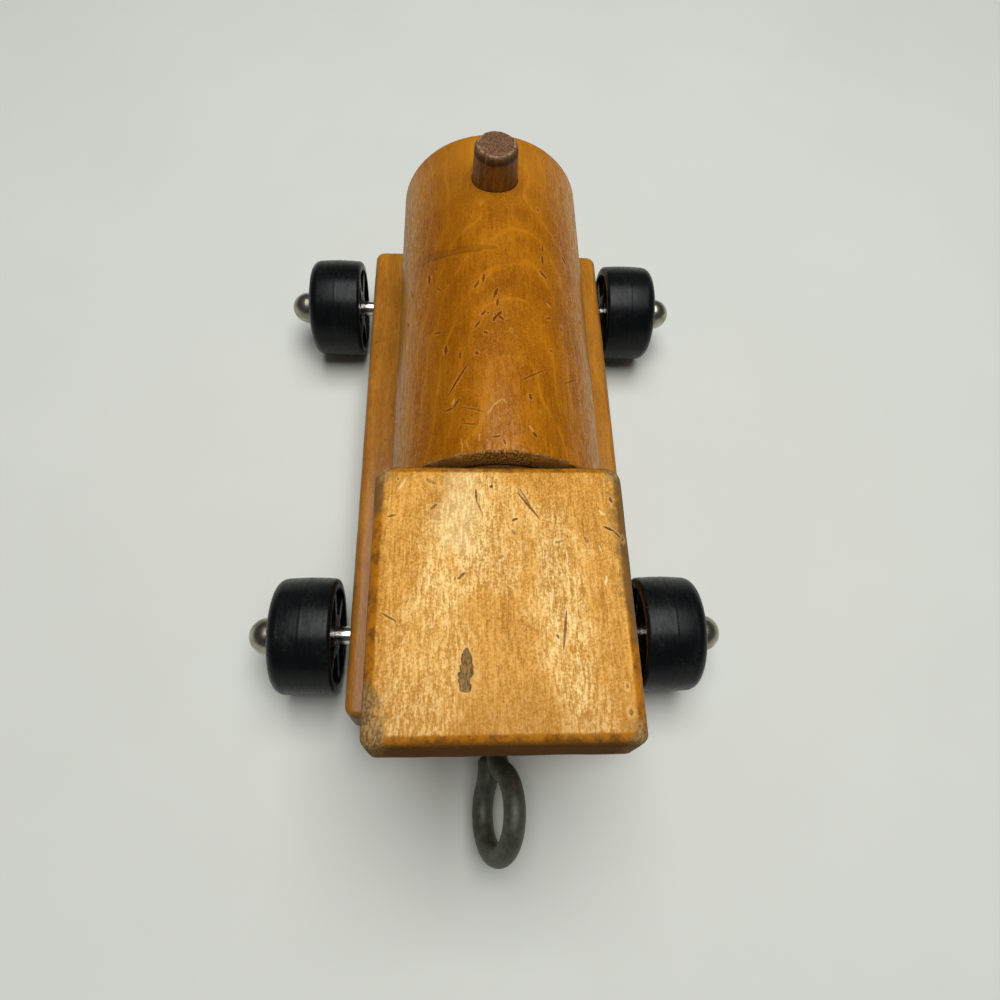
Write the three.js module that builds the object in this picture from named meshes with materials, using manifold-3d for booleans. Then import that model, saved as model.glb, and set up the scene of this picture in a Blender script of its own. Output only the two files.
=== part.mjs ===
// Wooden toy train engine, in millimetres. +Z is up, +Y is forward to the chimney end, +X is right.
// Places along Y are laid out from the rear axle and heights from the floor.
// At the end the whole engine moves along Y, so that the origin is under the middle of its box.
import * as THREE from 'three';
import { mergeVertices } from 'three/addons/utils/BufferGeometryUtils.js';
import Module from 'manifold-3d';

const wasm = await Module();
wasm.setup();

// Clearances
const GLUE_LINE = 0.3; // between wooden faces that are joined
const SEAT_CLEARANCE = 0.3; // round dowels, screws and the eye in their holes
const BORE_CLEARANCE = 0.4; // round the axle rods in the base board
const HUB_CLEARANCE = 0.2; // round the axle rods in the wheels
const CAP_CLEARANCE = 0.15; // round the rod ends in the caps
const END_PLAY = 0.5; // between a wheel and its cap
const SIDE_PLAY = 3.3; // between a wheel and the base board, with the axle in the middle
const TAIL_CLEARANCE = 0.35; // between the two ends of the eye's wire
const AXLE_SLIDE = 1.5; // both axles lie this far to the left in the board
const CUT_MARGIN = 1; // how far a cutting tool runs past the face it cuts

// Wheels
const WHEEL_RADIUS = 20;
const WHEEL_WIDTH = 20.8;
const TREAD_CROWN = 0.3;
const OUTER_SHOULDER = 4;
const INNER_SHOULDER = 1.4;
const RIM_BORE_RADIUS = 16.6;
const WEB_INSET = 0.6;
const DISH_RADIUS = 13.6;
const DISH_DEPTH = 2;
const DISH_SLOPE = 0.8;
const BOSS_RADIUS = 8.2;
const POCKETS = 6;
const POCKET_INNER_RADIUS = 7.4;
const POCKET_WALL = 0.6;
const POCKET_DEPTH = 12;
const WEB_THICKNESS = 3;

// Axles and caps
const WHEELBASE = 146;
const AXLE_RADIUS = 3.175;
const AXLE_CHAMFER = 0.5;
const CAP_RADIUS = 6.5;
const CAP_HEIGHT = 9.1;
const CAP_RIM = 2.6;
const CAP_SOCKET = 6.2;

// Base board
const BASE_LENGTH = 200;
const BASE_WIDTH = 96.8;
const BASE_THICKNESS = 19.05;
const BASE_CORNER = 4;
const BASE_EDGE = 2;
const REAR_OVERHANG = 29.3;

// Boiler
const BOILER_RADIUS = 33.3;
const BOILER_LENGTH = 132.3;
const BOILER_FLAT_DEPTH = 1;
const BOILER_FRONT_EDGE = 1.5;
const BOILER_REAR_EDGE = 0.4;
const BOILER_TO_CAB = 0.5;

// Chimney
const CHIMNEY_RADIUS = 8;
const CHIMNEY_TOP_RADIUS = 7.4;
const CHIMNEY_HEIGHT = 12.8; // above the top of the boiler
const CHIMNEY_SEAT = 18; // below the top of the boiler
const CHIMNEY_ROUND = 1.5;
const CHIMNEY_SETBACK = 22.5; // from the front end of the boiler

// Cab
const CAB_FRONT = 29.2; // ahead of the rear axle
const CAB_WIDTH = 57;
const CAB_LENGTH = 57;
const CAB_CORNER = 2.5;
const CAB_EDGE = 1;
const ROOF_WIDTH = 69.8;
const ROOF_LENGTH = 76.4;
const ROOF_THICKNESS = 19.05;
const ROOF_DROP = 6.05; // from the top of the boiler to the top of the roof
const ROOF_CORNER = 4.5;
const ROOF_EDGE = 3.2;
const ROOF_SET_LEFT = 0.7;
const DOWEL_RADIUS = 4.75;
const DOWEL_LENGTH = 25;
const DOWEL_CHAMFER = 0.8;
const DOWEL_SPACING = 32;

// Countersunk wood screws, driven up through the base board
const SCREW_LENGTH = 38;
const SCREW_RADIUS = 2.1;
const SCREW_HEAD_RADIUS = 4.2;
const SCREW_HEAD_HEIGHT = 2.6;
const SCREW_POINT = 5;
const SCREW_SLOT_WIDTH = 1.1;
const SCREW_SLOT_DEPTH = 1.1;
const BOILER_SCREW_INSET = 26; // from each end of the boiler
const CAB_SCREW_SPACING = 32;
const CAB_SCREW_SETBACK = 15; // from the front of the cab

// Screw eye in the rear end of the base board
const EYE_WIRE_RADIUS = 3.4;
const EYE_RING_RADIUS = 12.5; // to the middle of the wire
const EYE_REACH = 28.2; // from the base board to the middle of the ring
const EYE_SEAT = 21;
const EYE_NECK_BEND = 7;
const EYE_TAIL_BEND = 9;
const EYE_TAIL_REACH = 17.5; // from the middle of the ring to the end of the wire
const EYE_TURN = THREE.MathUtils.degToRad(69); // of the ring's plane from level, right side up
const EYE_SET_RIGHT = 0.6;

// Fineness
const ROUND_SIDES = 24;
const WHEEL_SIDES = 36;
const BOILER_SIDES = 72;
const WIRE_HALF_SIDES = 6;
const WIRE_STEPS = 54;
const ARC_STEPS = 4;
const CORNER_STEPS = 3;
const CROWN_STEPS = 6;
const DOME_STEPS = 6;

// Places that follow from the sizes
const AXLE_Z = WHEEL_RADIUS;
const BASE_BOTTOM = AXLE_Z - BASE_THICKNESS / 2;
const BASE_TOP = BASE_BOTTOM + BASE_THICKNESS;
const BASE_REAR = -REAR_OVERHANG;
const BASE_FRONT = BASE_REAR + BASE_LENGTH;
const BOILER_REAR = CAB_FRONT + BOILER_TO_CAB;
const BOILER_FRONT = BOILER_REAR + BOILER_LENGTH;
const BOILER_AXIS_Z = BASE_TOP + GLUE_LINE + BOILER_RADIUS - BOILER_FLAT_DEPTH;
const CHIMNEY_Y = BOILER_FRONT - CHIMNEY_SETBACK;
const BOILER_TOP = BOILER_AXIS_Z + BOILER_RADIUS;
const CHIMNEY_FOOT_Z = BOILER_TOP - CHIMNEY_SEAT;
const ROOF_BOTTOM = BOILER_TOP - ROOF_DROP - ROOF_THICKNESS;
const CAB_BOTTOM = BASE_TOP + GLUE_LINE;
const CAB_HEIGHT = ROOF_BOTTOM - GLUE_LINE - CAB_BOTTOM;
const CAB_MIDDLE_Y = CAB_FRONT - CAB_LENGTH / 2;
const ROOF_MIDDLE_Y = CAB_FRONT - ROOF_LENGTH / 2;
const DOWEL_Z = ROOF_BOTTOM - (GLUE_LINE + DOWEL_LENGTH) / 2;
const BOILER_SCREW_PLACES = [BOILER_REAR + BOILER_SCREW_INSET, BOILER_FRONT - BOILER_SCREW_INSET];
const CAB_SCREW_Y = CAB_FRONT - CAB_SCREW_SETBACK;
const EYE_Y = BASE_REAR - EYE_REACH;
const EYE_TIP = EYE_Y - EYE_RING_RADIUS - EYE_WIRE_RADIUS;
const WHEEL_INNER_X = BASE_WIDTH / 2 + SIDE_PLAY;
const CAP_X = WHEEL_INNER_X + WHEEL_WIDTH + END_PLAY;
const AXLE_LENGTH = 2 * (CAP_X + CAP_SOCKET - CAP_CLEARANCE);
const SIDES = [['left', -1], ['right', 1]];

// Materials, one for each kind of piece
const finish = (color, roughness, metalness) => ({ color, roughness, metalness });
const BOARD_WOOD = finish(0xa6702c, 0.42, 0);
const BOILER_WOOD = finish(0xa5630f, 0.36, 0);
const ROOF_WOOD = finish(0xd8a156, 0.45, 0);
const DARK_WOOD = finish(0x5d3a1c, 0.62, 0);
const PALE_WOOD = finish(0xcda878, 0.8, 0);
const BLACK_RUBBER = finish(0x202120, 0.45, 0);
const NICKEL = finish(0xb9b5a6, 0.25, 1);
const BRIGHT_STEEL = finish(0xc6c4bd, 0.22, 1);
const GREY_IRON = finish(0x55554d, 0.55, 0.9);
const ZINC = finish(0x9b9a92, 0.4, 1);

// A closed three.js geometry as a solid that can be joined and cut
function toSolid(geometry) {
  const bare = geometry.clone();
  bare.deleteAttribute('normal');
  bare.deleteAttribute('uv');
  const merged = mergeVertices(bare);
  const corners = merged.index.array;
  const triangles = [];
  for (let i = 0; i < corners.length; i += 3) {
    const [a, b, c] = [corners[i], corners[i + 1], corners[i + 2]];
    if (a !== b && b !== c && c !== a) triangles.push(a, b, c);
  }
  const vertProperties = new Float32Array(merged.attributes.position.array);
  const triVerts = new Uint32Array(triangles);
  return new wasm.Manifold(new wasm.Mesh({ numProp: 3, vertProperties, triVerts }));
}

function toGeometry(solid) {
  const mesh = solid.getMesh();
  const geometry = new THREE.BufferGeometry();
  geometry.setAttribute('position', new THREE.BufferAttribute(mesh.vertProperties, 3));
  geometry.setIndex(new THREE.BufferAttribute(mesh.triVerts, 1));
  geometry.computeVertexNormals();
  return geometry;
}

function cut(geometry, tools) {
  const left = tools.reduce((solid, tool) => solid.subtract(toSolid(tool)), toSolid(geometry));
  return toGeometry(left);
}

function piece(name, geometry, look) {
  const mesh = new THREE.Mesh(geometry, new THREE.MeshStandardMaterial(look));
  mesh.name = name;
  return mesh;
}

// Points of a quarter ellipse from angle a to angle b, as a lathe profile's corner
function corner(radius, height, wide, tall, a, b, steps = ARC_STEPS) {
  const points = [];
  for (let i = 0; i <= steps; i += 1) {
    const angle = THREE.MathUtils.lerp(a, b, i / steps);
    points.push(new THREE.Vector2(radius + wide * Math.cos(angle), height + tall * Math.sin(angle)));
  }
  return points;
}

const at = (radius, height) => new THREE.Vector2(radius, height);
const QUARTER = Math.PI / 2;

// A turned piece whose axis is +Y, then stood along +Z
function turnedUp(profile, sides = ROUND_SIDES) {
  return new THREE.LatheGeometry(profile, sides).rotateX(QUARTER);
}

// A round rod along +Z from z = 0, with the same chamfer on both ends
function rod(radius, length, chamfer) {
  return turnedUp([
    at(0, 0),
    at(radius - chamfer, 0),
    at(radius, chamfer),
    at(radius, length - chamfer),
    at(radius - chamfer, length),
    at(0, length),
  ]);
}

// A plain round cutting tool along +Z from z = 0
function drill(radius, length) {
  return turnedUp([at(0, 0), at(radius, 0), at(radius, length), at(0, length)]);
}

// A board with rounded corners in plan and rounded edges, standing on z = 0 round the origin
function board(width, length, thickness, cornerRadius, edge) {
  const x = width / 2 - cornerRadius;
  const y = length / 2 - cornerRadius;
  const radius = cornerRadius - edge;
  const outline = new THREE.Shape();
  outline.absarc(x, y, radius, 0, QUARTER);
  outline.absarc(-x, y, radius, QUARTER, 2 * QUARTER);
  outline.absarc(-x, -y, radius, 2 * QUARTER, 3 * QUARTER);
  outline.absarc(x, -y, radius, 3 * QUARTER, 4 * QUARTER);
  return new THREE.ExtrudeGeometry(outline, {
    depth: thickness - 2 * edge,
    curveSegments: CORNER_STEPS,
    bevelThickness: edge,
    bevelSize: edge,
    bevelSegments: ARC_STEPS,
  }).translate(0, 0, edge);
}

// A screw along +Z, its head's face at z = 0. Spare makes it the hole for such a screw.
function screwBody(spare) {
  const head = SCREW_HEAD_RADIUS + spare;
  const shank = SCREW_RADIUS + spare;
  const neck = SCREW_HEAD_HEIGHT + spare;
  const tip = SCREW_LENGTH + spare;
  const start = spare > 0 ? -CUT_MARGIN : 0;
  return turnedUp([
    at(0, start),
    at(head, start),
    at(head, spare),
    at(shank, neck),
    at(shank, tip - SCREW_POINT),
    at(0, tip),
  ]);
}

function screw() {
  const slotLength = 2 * SCREW_HEAD_RADIUS + CUT_MARGIN;
  const slot = new THREE.BoxGeometry(slotLength, SCREW_SLOT_WIDTH, 2 * SCREW_SLOT_DEPTH);
  return cut(screwBody(0), [slot]);
}

const screwHole = (x, y) => screwBody(SEAT_CLEARANCE).translate(x, y, BASE_BOTTOM);

const boilerScrewHoles = () => BOILER_SCREW_PLACES.map((y) => screwHole(0, y));

const cabScrewX = (side) => (side * CAB_SCREW_SPACING) / 2;

const cabScrewHoles = () => SIDES.map(([, side]) => screwHole(cabScrewX(side), CAB_SCREW_Y));

// Boards, boiler and chimney

function axleBore(y) {
  return drill(AXLE_RADIUS + BORE_CLEARANCE, BASE_WIDTH + 2 * CUT_MARGIN)
    .rotateY(QUARTER)
    .translate(-BASE_WIDTH / 2 - CUT_MARGIN, y, AXLE_Z);
}

function baseBoard() {
  const axleBores = [axleBore(0), axleBore(WHEELBASE)];
  const eyeHole = drill(EYE_WIRE_RADIUS + SEAT_CLEARANCE, EYE_SEAT + SEAT_CLEARANCE + CUT_MARGIN)
    .rotateX(-QUARTER)
    .translate(EYE_SET_RIGHT, BASE_REAR - CUT_MARGIN, AXLE_Z);
  const holes = [...axleBores, eyeHole, ...boilerScrewHoles(), ...cabScrewHoles()];
  const slab = board(BASE_WIDTH, BASE_LENGTH, BASE_THICKNESS, BASE_CORNER, BASE_EDGE)
    .translate(0, BASE_REAR + BASE_LENGTH / 2, BASE_BOTTOM);
  return piece('base_board', cut(slab, holes), BOARD_WOOD);
}

function boiler() {
  const front = BOILER_RADIUS - BOILER_FRONT_EDGE;
  const rear = BOILER_RADIUS - BOILER_REAR_EDGE;
  const log = new THREE.LatheGeometry([
    at(0, 0),
    ...corner(rear, BOILER_REAR_EDGE, BOILER_REAR_EDGE, BOILER_REAR_EDGE, -QUARTER, 0, 2),
    ...corner(front, BOILER_LENGTH - BOILER_FRONT_EDGE, BOILER_FRONT_EDGE, BOILER_FRONT_EDGE, 0, QUARTER),
    at(0, BOILER_LENGTH),
  ], BOILER_SIDES).translate(0, BOILER_REAR, BOILER_AXIS_Z);
  const width = 2 * BOILER_RADIUS;
  const underFlat = new THREE.BoxGeometry(width, BOILER_LENGTH + 2 * CUT_MARGIN, width)
    .translate(0, BOILER_REAR + BOILER_LENGTH / 2, BASE_TOP + GLUE_LINE - BOILER_RADIUS);
  const chimneyDepth = CHIMNEY_SEAT + CHIMNEY_HEIGHT + SEAT_CLEARANCE;
  const chimneyHole = drill(CHIMNEY_RADIUS + SEAT_CLEARANCE, chimneyDepth)
    .translate(0, CHIMNEY_Y, CHIMNEY_FOOT_Z - SEAT_CLEARANCE);
  return piece('boiler', cut(log, [underFlat, chimneyHole, ...boilerScrewHoles()]), BOILER_WOOD);
}

function chimney() {
  const top = CHIMNEY_SEAT + CHIMNEY_HEIGHT;
  const flat = CHIMNEY_TOP_RADIUS - CHIMNEY_ROUND;
  const peg = turnedUp([
    at(0, 0),
    at(CHIMNEY_RADIUS, 0),
    at(CHIMNEY_RADIUS, CHIMNEY_SEAT),
    ...corner(flat, top - CHIMNEY_ROUND, CHIMNEY_ROUND, CHIMNEY_ROUND, 0, QUARTER),
    at(0, top),
  ]);
  return piece('smokestack', peg.translate(0, CHIMNEY_Y, CHIMNEY_FOOT_Z), DARK_WOOD);
}

// Cab: a block, a roof slab and the two dowels between them

const dowelX = (side) => (side * DOWEL_SPACING) / 2;

const dowelHoles = () => SIDES.map(([, side]) => drill(
  DOWEL_RADIUS + SEAT_CLEARANCE,
  DOWEL_LENGTH + 2 * SEAT_CLEARANCE,
).translate(dowelX(side), CAB_MIDDLE_Y, DOWEL_Z - SEAT_CLEARANCE));

function cabBody() {
  const block = board(CAB_WIDTH, CAB_LENGTH, CAB_HEIGHT, CAB_CORNER, CAB_EDGE)
    .translate(0, CAB_MIDDLE_Y, CAB_BOTTOM);
  return piece('cab_body', cut(block, [...dowelHoles(), ...cabScrewHoles()]), BOARD_WOOD);
}

function cabRoof() {
  const slab = board(ROOF_WIDTH, ROOF_LENGTH, ROOF_THICKNESS, ROOF_CORNER, ROOF_EDGE)
    .translate(-ROOF_SET_LEFT, ROOF_MIDDLE_Y, ROOF_BOTTOM);
  return piece('cab_roof', cut(slab, dowelHoles()), ROOF_WOOD);
}

function roofDowel(sideName, side) {
  const dowel = rod(DOWEL_RADIUS, DOWEL_LENGTH, DOWEL_CHAMFER);
  return piece(`roof_dowel_${sideName}`, dowel.translate(dowelX(side), CAB_MIDDLE_Y, DOWEL_Z), PALE_WOOD);
}

// Screws, seen from below as slotted heads in the base board

function boilerScrew(name, y) {
  return piece(`boiler_screw_${name}`, screw().translate(0, y, BASE_BOTTOM), ZINC);
}

function cabScrew(sideName, side) {
  const driven = screw().translate(cabScrewX(side), CAB_SCREW_Y, BASE_BOTTOM);
  return piece(`cab_screw_${sideName}`, driven, ZINC);
}

// Screw eye: one wire from its seat in the board, through a bend, round the ring and back under the neck

class Arc3 extends THREE.Curve {
  constructor(centre, along, across, radius, from, to) {
    super();
    Object.assign(this, { centre, along, across, radius, from, to });
  }

  getPoint(t, target = new THREE.Vector3()) {
    const angle = THREE.MathUtils.lerp(this.from, this.to, t);
    return target.copy(this.centre)
      .addScaledVector(this.along, this.radius * Math.cos(angle))
      .addScaledVector(this.across, this.radius * Math.sin(angle));
  }
}

function screwEye() {
  const forward = new THREE.Vector3(0, 1, 0);
  const rightUp = new THREE.Vector3(Math.cos(EYE_TURN), 0, Math.sin(EYE_TURN));
  const ringCentre = new THREE.Vector3(EYE_SET_RIGHT, EYE_Y, AXLE_Z);
  const place = (ahead, up) => ringCentre.clone()
    .addScaledVector(forward, ahead)
    .addScaledVector(rightUp, up);
  const bendAhead = Math.sqrt(EYE_RING_RADIUS ** 2 + 2 * EYE_RING_RADIUS * EYE_NECK_BEND);
  const meeting = Math.atan2(EYE_NECK_BEND, bendAhead);
  const bendCentre = place(bendAhead, EYE_NECK_BEND);
  const tailDrop = 2 * EYE_WIRE_RADIUS + TAIL_CLEARANCE;
  const tailTurn = EYE_RING_RADIUS + EYE_TAIL_BEND;
  const leaving = Math.asin((EYE_TAIL_BEND + tailDrop) / tailTurn);
  const tailAhead = tailTurn * Math.cos(leaving);
  const tailCentre = place(tailAhead, -tailDrop - EYE_TAIL_BEND);
  const path = new THREE.CurvePath();
  path.add(new THREE.LineCurve3(place(EYE_REACH + EYE_SEAT, 0), place(bendAhead, 0)));
  path.add(new Arc3(bendCentre, forward, rightUp, EYE_NECK_BEND, -QUARTER, meeting - Math.PI));
  path.add(new Arc3(ringCentre, forward, rightUp, EYE_RING_RADIUS, meeting, 2 * Math.PI - leaving));
  path.add(new Arc3(tailCentre, forward, rightUp, EYE_TAIL_BEND, Math.PI - leaving, QUARTER));
  path.add(new THREE.LineCurve3(place(tailAhead, -tailDrop), place(EYE_TAIL_REACH, -tailDrop)));
  const section = new THREE.Shape().absarc(0, 0, EYE_WIRE_RADIUS, 0, 2 * Math.PI);
  const wire = new THREE.ExtrudeGeometry(section, {
    steps: WIRE_STEPS,
    curveSegments: WIRE_HALF_SIDES,
    extrudePath: path,
  });
  return piece('screw_eye', wire, GREY_IRON);
}

// Wheels, axles and caps. Each is made along +X from its inner end and turned round for the left side.

const outward = (geometry, side) => geometry.rotateZ(-side * QUARTER);

function wheelPocket() {
  const outer = RIM_BORE_RADIUS - POCKET_WALL;
  const halfPitch = Math.PI / POCKETS;
  const outerHalf = halfPitch - Math.asin(WEB_THICKNESS / 2 / outer);
  const innerHalf = halfPitch - Math.asin(WEB_THICKNESS / 2 / POCKET_INNER_RADIUS);
  const outline = new THREE.Shape();
  outline.absarc(0, 0, outer, -outerHalf, outerHalf);
  outline.absarc(0, 0, POCKET_INNER_RADIUS, innerHalf, -innerHalf, true);
  return new THREE.ExtrudeGeometry(outline, {
    depth: POCKET_DEPTH + CUT_MARGIN,
    curveSegments: ARC_STEPS,
    bevelEnabled: false,
  }).translate(0, 0, WEB_INSET - CUT_MARGIN).rotateX(-QUARTER);
}

function treadPoints(start, end) {
  const points = [];
  for (let i = 0; i <= CROWN_STEPS; i += 1) {
    const offset = (2 * i) / CROWN_STEPS - 1;
    const height = THREE.MathUtils.lerp(start, end, i / CROWN_STEPS);
    points.push(at(WHEEL_RADIUS - TREAD_CROWN * offset ** 2, height));
  }
  return points;
}

function wheel(name, side) {
  const bore = AXLE_RADIUS + HUB_CLEARANCE;
  const edge = WHEEL_RADIUS - TREAD_CROWN;
  const treadEnd = WHEEL_WIDTH - OUTER_SHOULDER;
  const profile = [
    at(bore, WEB_INSET),
    at(RIM_BORE_RADIUS, WEB_INSET),
    at(RIM_BORE_RADIUS, 0),
    ...corner(edge - INNER_SHOULDER, INNER_SHOULDER, INNER_SHOULDER, INNER_SHOULDER, -QUARTER, 0),
    ...treadPoints(INNER_SHOULDER, treadEnd).slice(1),
    ...corner(edge - OUTER_SHOULDER, treadEnd, OUTER_SHOULDER, OUTER_SHOULDER, 0, QUARTER).slice(1),
    at(DISH_RADIUS, WHEEL_WIDTH),
    at(DISH_RADIUS - DISH_SLOPE, WHEEL_WIDTH - DISH_DEPTH),
    at(BOSS_RADIUS + DISH_SLOPE, WHEEL_WIDTH - DISH_DEPTH),
    at(BOSS_RADIUS, WHEEL_WIDTH),
    at(bore, WHEEL_WIDTH),
    at(bore, WEB_INSET),
  ];
  const pockets = [];
  for (let i = 0; i < POCKETS; i += 1) {
    pockets.push(wheelPocket().rotateY((2 * Math.PI * i) / POCKETS));
  }
  const turned = cut(new THREE.LatheGeometry(profile, WHEEL_SIDES), pockets);
  return piece(name, outward(turned, side).translate(side * WHEEL_INNER_X, 0, 0), BLACK_RUBBER);
}

function axle(name) {
  const bar = rod(AXLE_RADIUS, AXLE_LENGTH, AXLE_CHAMFER).translate(0, 0, -AXLE_LENGTH / 2);
  return piece(name, bar.rotateY(QUARTER), BRIGHT_STEEL);
}

function axleCap(name, side) {
  const socket = AXLE_RADIUS + CAP_CLEARANCE;
  const dome = new THREE.LatheGeometry([
    at(0, CAP_SOCKET),
    at(socket, CAP_SOCKET),
    at(socket, 0),
    at(CAP_RADIUS, 0),
    ...corner(0, CAP_RIM, CAP_RADIUS, CAP_HEIGHT - CAP_RIM, 0, QUARTER, DOME_STEPS).slice(0, -1),
    at(0, CAP_HEIGHT),
  ], ROUND_SIDES);
  return piece(name, outward(dome, side).translate(side * CAP_X, 0, 0), NICKEL);
}

function axleSet(end, y) {
  const set = new THREE.Group();
  set.position.set(0, y, AXLE_Z);
  set.add(axle(`${end}_axle`));
  for (const [sideName, side] of SIDES) {
    set.add(wheel(`wheel_${end}_${sideName}`, side));
    set.add(axleCap(`axle_cap_${end}_${sideName}`, side));
  }
  return set;
}

// Assembly

const woodwork = new THREE.Group();
woodwork.position.x = AXLE_SLIDE;
woodwork.add(baseBoard(), boiler(), chimney(), cabBody(), cabRoof(), screwEye());
woodwork.add(boilerScrew('rear', BOILER_SCREW_PLACES[0]), boilerScrew('front', BOILER_SCREW_PLACES[1]));
for (const [sideName, side] of SIDES) {
  woodwork.add(roofDowel(sideName, side), cabScrew(sideName, side));
}

const engine = new THREE.Group();
engine.add(woodwork, axleSet('rear', 0), axleSet('front', WHEELBASE));
engine.position.y = -(BASE_FRONT + EYE_TIP) / 2;

export default engine;
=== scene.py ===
import math

import bmesh
import bpy
from mathutils import Matrix, Vector, noise


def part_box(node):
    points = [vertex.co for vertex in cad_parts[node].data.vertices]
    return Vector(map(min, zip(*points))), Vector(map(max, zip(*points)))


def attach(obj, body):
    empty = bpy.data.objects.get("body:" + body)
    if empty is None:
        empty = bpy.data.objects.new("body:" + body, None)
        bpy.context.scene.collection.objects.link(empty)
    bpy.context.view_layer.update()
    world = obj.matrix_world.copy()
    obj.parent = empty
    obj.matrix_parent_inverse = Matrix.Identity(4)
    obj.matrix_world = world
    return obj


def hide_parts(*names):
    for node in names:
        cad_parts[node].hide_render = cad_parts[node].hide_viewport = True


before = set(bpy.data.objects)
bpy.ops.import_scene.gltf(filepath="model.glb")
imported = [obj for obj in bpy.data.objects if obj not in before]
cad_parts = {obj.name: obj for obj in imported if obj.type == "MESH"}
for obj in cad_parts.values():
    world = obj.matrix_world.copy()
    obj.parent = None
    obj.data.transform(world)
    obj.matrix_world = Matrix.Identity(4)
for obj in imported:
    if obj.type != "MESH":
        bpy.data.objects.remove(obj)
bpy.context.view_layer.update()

# Base board
# A planed hardwood board under an old amber varnish, which carries all the rest. Its corners and edges
# are eased, two bores run across it for the axle rods, and countersunk holes from below take the four
# wood screws.

MM = 0.001
BOARD_CORNER = 4 * MM
BOARD_EDGE = 2 * MM
BOARD_GRID = 2.5 * MM
BOARD_RUB = {"width": 3 * MM, "depth": 0.35 * MM, "lumps": 140}
BOARD_PITH = (14, 0.02, -62)
EASE_STEPS = 8
BORE_RADIUS = 3.575 * MM
BORE_SIDES = 48
SCREW_HOLE = [(0, -1), (4.5, -1), (4.5, 0.3), (2.4, 2.9), (2.4, 36), (0, 38.3)]
BOILER_SCREWS = ("boiler_screw_rear", "boiler_screw_front")
CAB_SCREWS = ("cab_screw_left", "cab_screw_right")
EYE_HOLE_RADIUS = 3.7 * MM
EYE_HOLE_DEPTH = 21.3 * MM
EYE_SET_RIGHT = 0.6 * MM
HOLE_START = 1 * MM
SHARP_ANGLE = math.radians(38)
ACROSS, AHEAD, UP = Vector((1, 0, 0)), Vector((0, 1, 0)), Vector((0, 0, 1))


def middle_of(node):
    """The middle of a node's box and half its size."""
    low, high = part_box(node)
    return (low + high) / 2, (high - low) / 2


def foot_of(node):
    """The middle of a node's box, at the box's lowest level."""
    low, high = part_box(node)
    return Vector(((low.x + high.x) / 2, (low.y + high.y) / 2, low.z))


def evenly(start, end, steps):
    """Evenly spaced numbers, both ends among them."""
    return [start + (end - start) * i / steps for i in range(steps + 1)]


def grid_places(half, eased, step):
    """Places across one side of a block, closer together where its edges are eased."""
    flat = half - eased
    outer = evenly(flat, half, EASE_STEPS)[1:]
    middle = evenly(-flat, flat, max(1, round(2 * flat / step)))
    return [-place for place in reversed(outer)] + middle + outer


def eased_point(spot, half, corner, edge):
    """A point on a square block, moved onto that block with round corners and eased edges."""
    core = Vector([max(corner - h, min(h - corner, s)) for s, h in zip(spot.xy, half.xy)])
    reach = spot.xy - core
    if reach.length > corner - edge:
        reach *= (corner - edge) / reach.length
    level = max(edge - half.z, min(half.z - edge, spot.z))
    inner = Vector((core.x + reach.x, core.y + reach.y, level))
    return inner + (spot - inner).normalized() * edge


def eased_block(node, corner, edge, step, lower_edge=None, rear_corner=None):
    """A wooden block in place of a node, as a fine grid of faces. Its lower edges and its two rear corners
    may be eased less."""
    centre, half = middle_of(node)
    places = [grid_places(half[axis], (corner, corner, edge)[axis], step) for axis in range(3)]
    shape = bmesh.new()
    made = {}

    def vert_at(key):
        if key not in made:
            spot = Vector([places[axis][key[axis]] for axis in range(3)])
            ease = lower_edge if lower_edge and spot.z < 0 else edge
            turn = rear_corner if rear_corner and spot.y < 0 else corner
            made[key] = shape.verts.new(centre + eased_point(spot, half, turn, ease))
        return made[key]

    for axis in range(3):
        across, along = (axis + 1) % 3, (axis + 2) % 3
        for end in (0, len(places[axis]) - 1):
            for i in range(len(places[across]) - 1):
                for j in range(len(places[along]) - 1):
                    ring = [(i, j), (i + 1, j), (i + 1, j + 1), (i, j + 1)]
                    keys = [{axis: end, across: a, along: b} for a, b in (ring if end else reversed(ring))]
                    shape.faces.new([vert_at((key[0], key[1], key[2])) for key in keys])
    return shape


def rub_edges(shape, node, width, depth, lumps):
    """Rubs a block's edges and corners down unevenly, as years of handling do."""
    centre, half = middle_of(node)
    shape.normal_update()
    for vert in shape.verts:
        inside = sorted(h - abs(c) for h, c in zip(half, vert.co - centre))
        near = max(0.0, 1.0 - inside[1] / width)
        rough = 0.5 + 0.5 * noise.noise(vert.co * lumps)
        vert.co -= vert.normal * depth * near * rough


def turned(shape, profile, sides, place=Matrix()):
    """Adds a form turned round the Z axis to a shape. Its profile lists radius and height, foot first."""
    rings = []
    for radius, height in profile:
        angles = [math.tau * k / sides for k in range(sides if radius > 0 else 1)]
        ring = [Vector((radius * math.cos(a), radius * math.sin(a), height)) for a in angles]
        rings.append([shape.verts.new(place @ spot) for spot in ring])
    if profile[0] == profile[-1]:
        for vert in rings[-1]:
            shape.verts.remove(vert)
        rings[-1] = rings[0]
    for lower, upper in zip(rings, rings[1:]):
        for k in range(sides):
            after = (k + 1) % sides
            ends = [(lower, k), (lower, after), (upper, after), (upper, k)]
            corners = list(dict.fromkeys(ring[i % len(ring)] for ring, i in ends))
            if len(corners) > 2:
                shape.faces.new(corners)
    return shape


def in_metres(profile):
    """A profile's radii and heights, from millimetres."""
    return [(radius * MM, height * MM) for radius, height in profile]


def show(name, data):
    """Puts a new object in the scene, at the origin."""
    made = bpy.data.objects.new(name, data)
    bpy.context.scene.collection.objects.link(made)
    return made


def new_piece(name, shape):
    """Makes an object of a finished shape, with its place in its mesh."""
    bmesh.ops.recalc_face_normals(shape, faces=shape.faces)
    mesh = bpy.data.meshes.new(name)
    shape.to_mesh(mesh)
    shape.free()
    return show(name, mesh)


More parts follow.
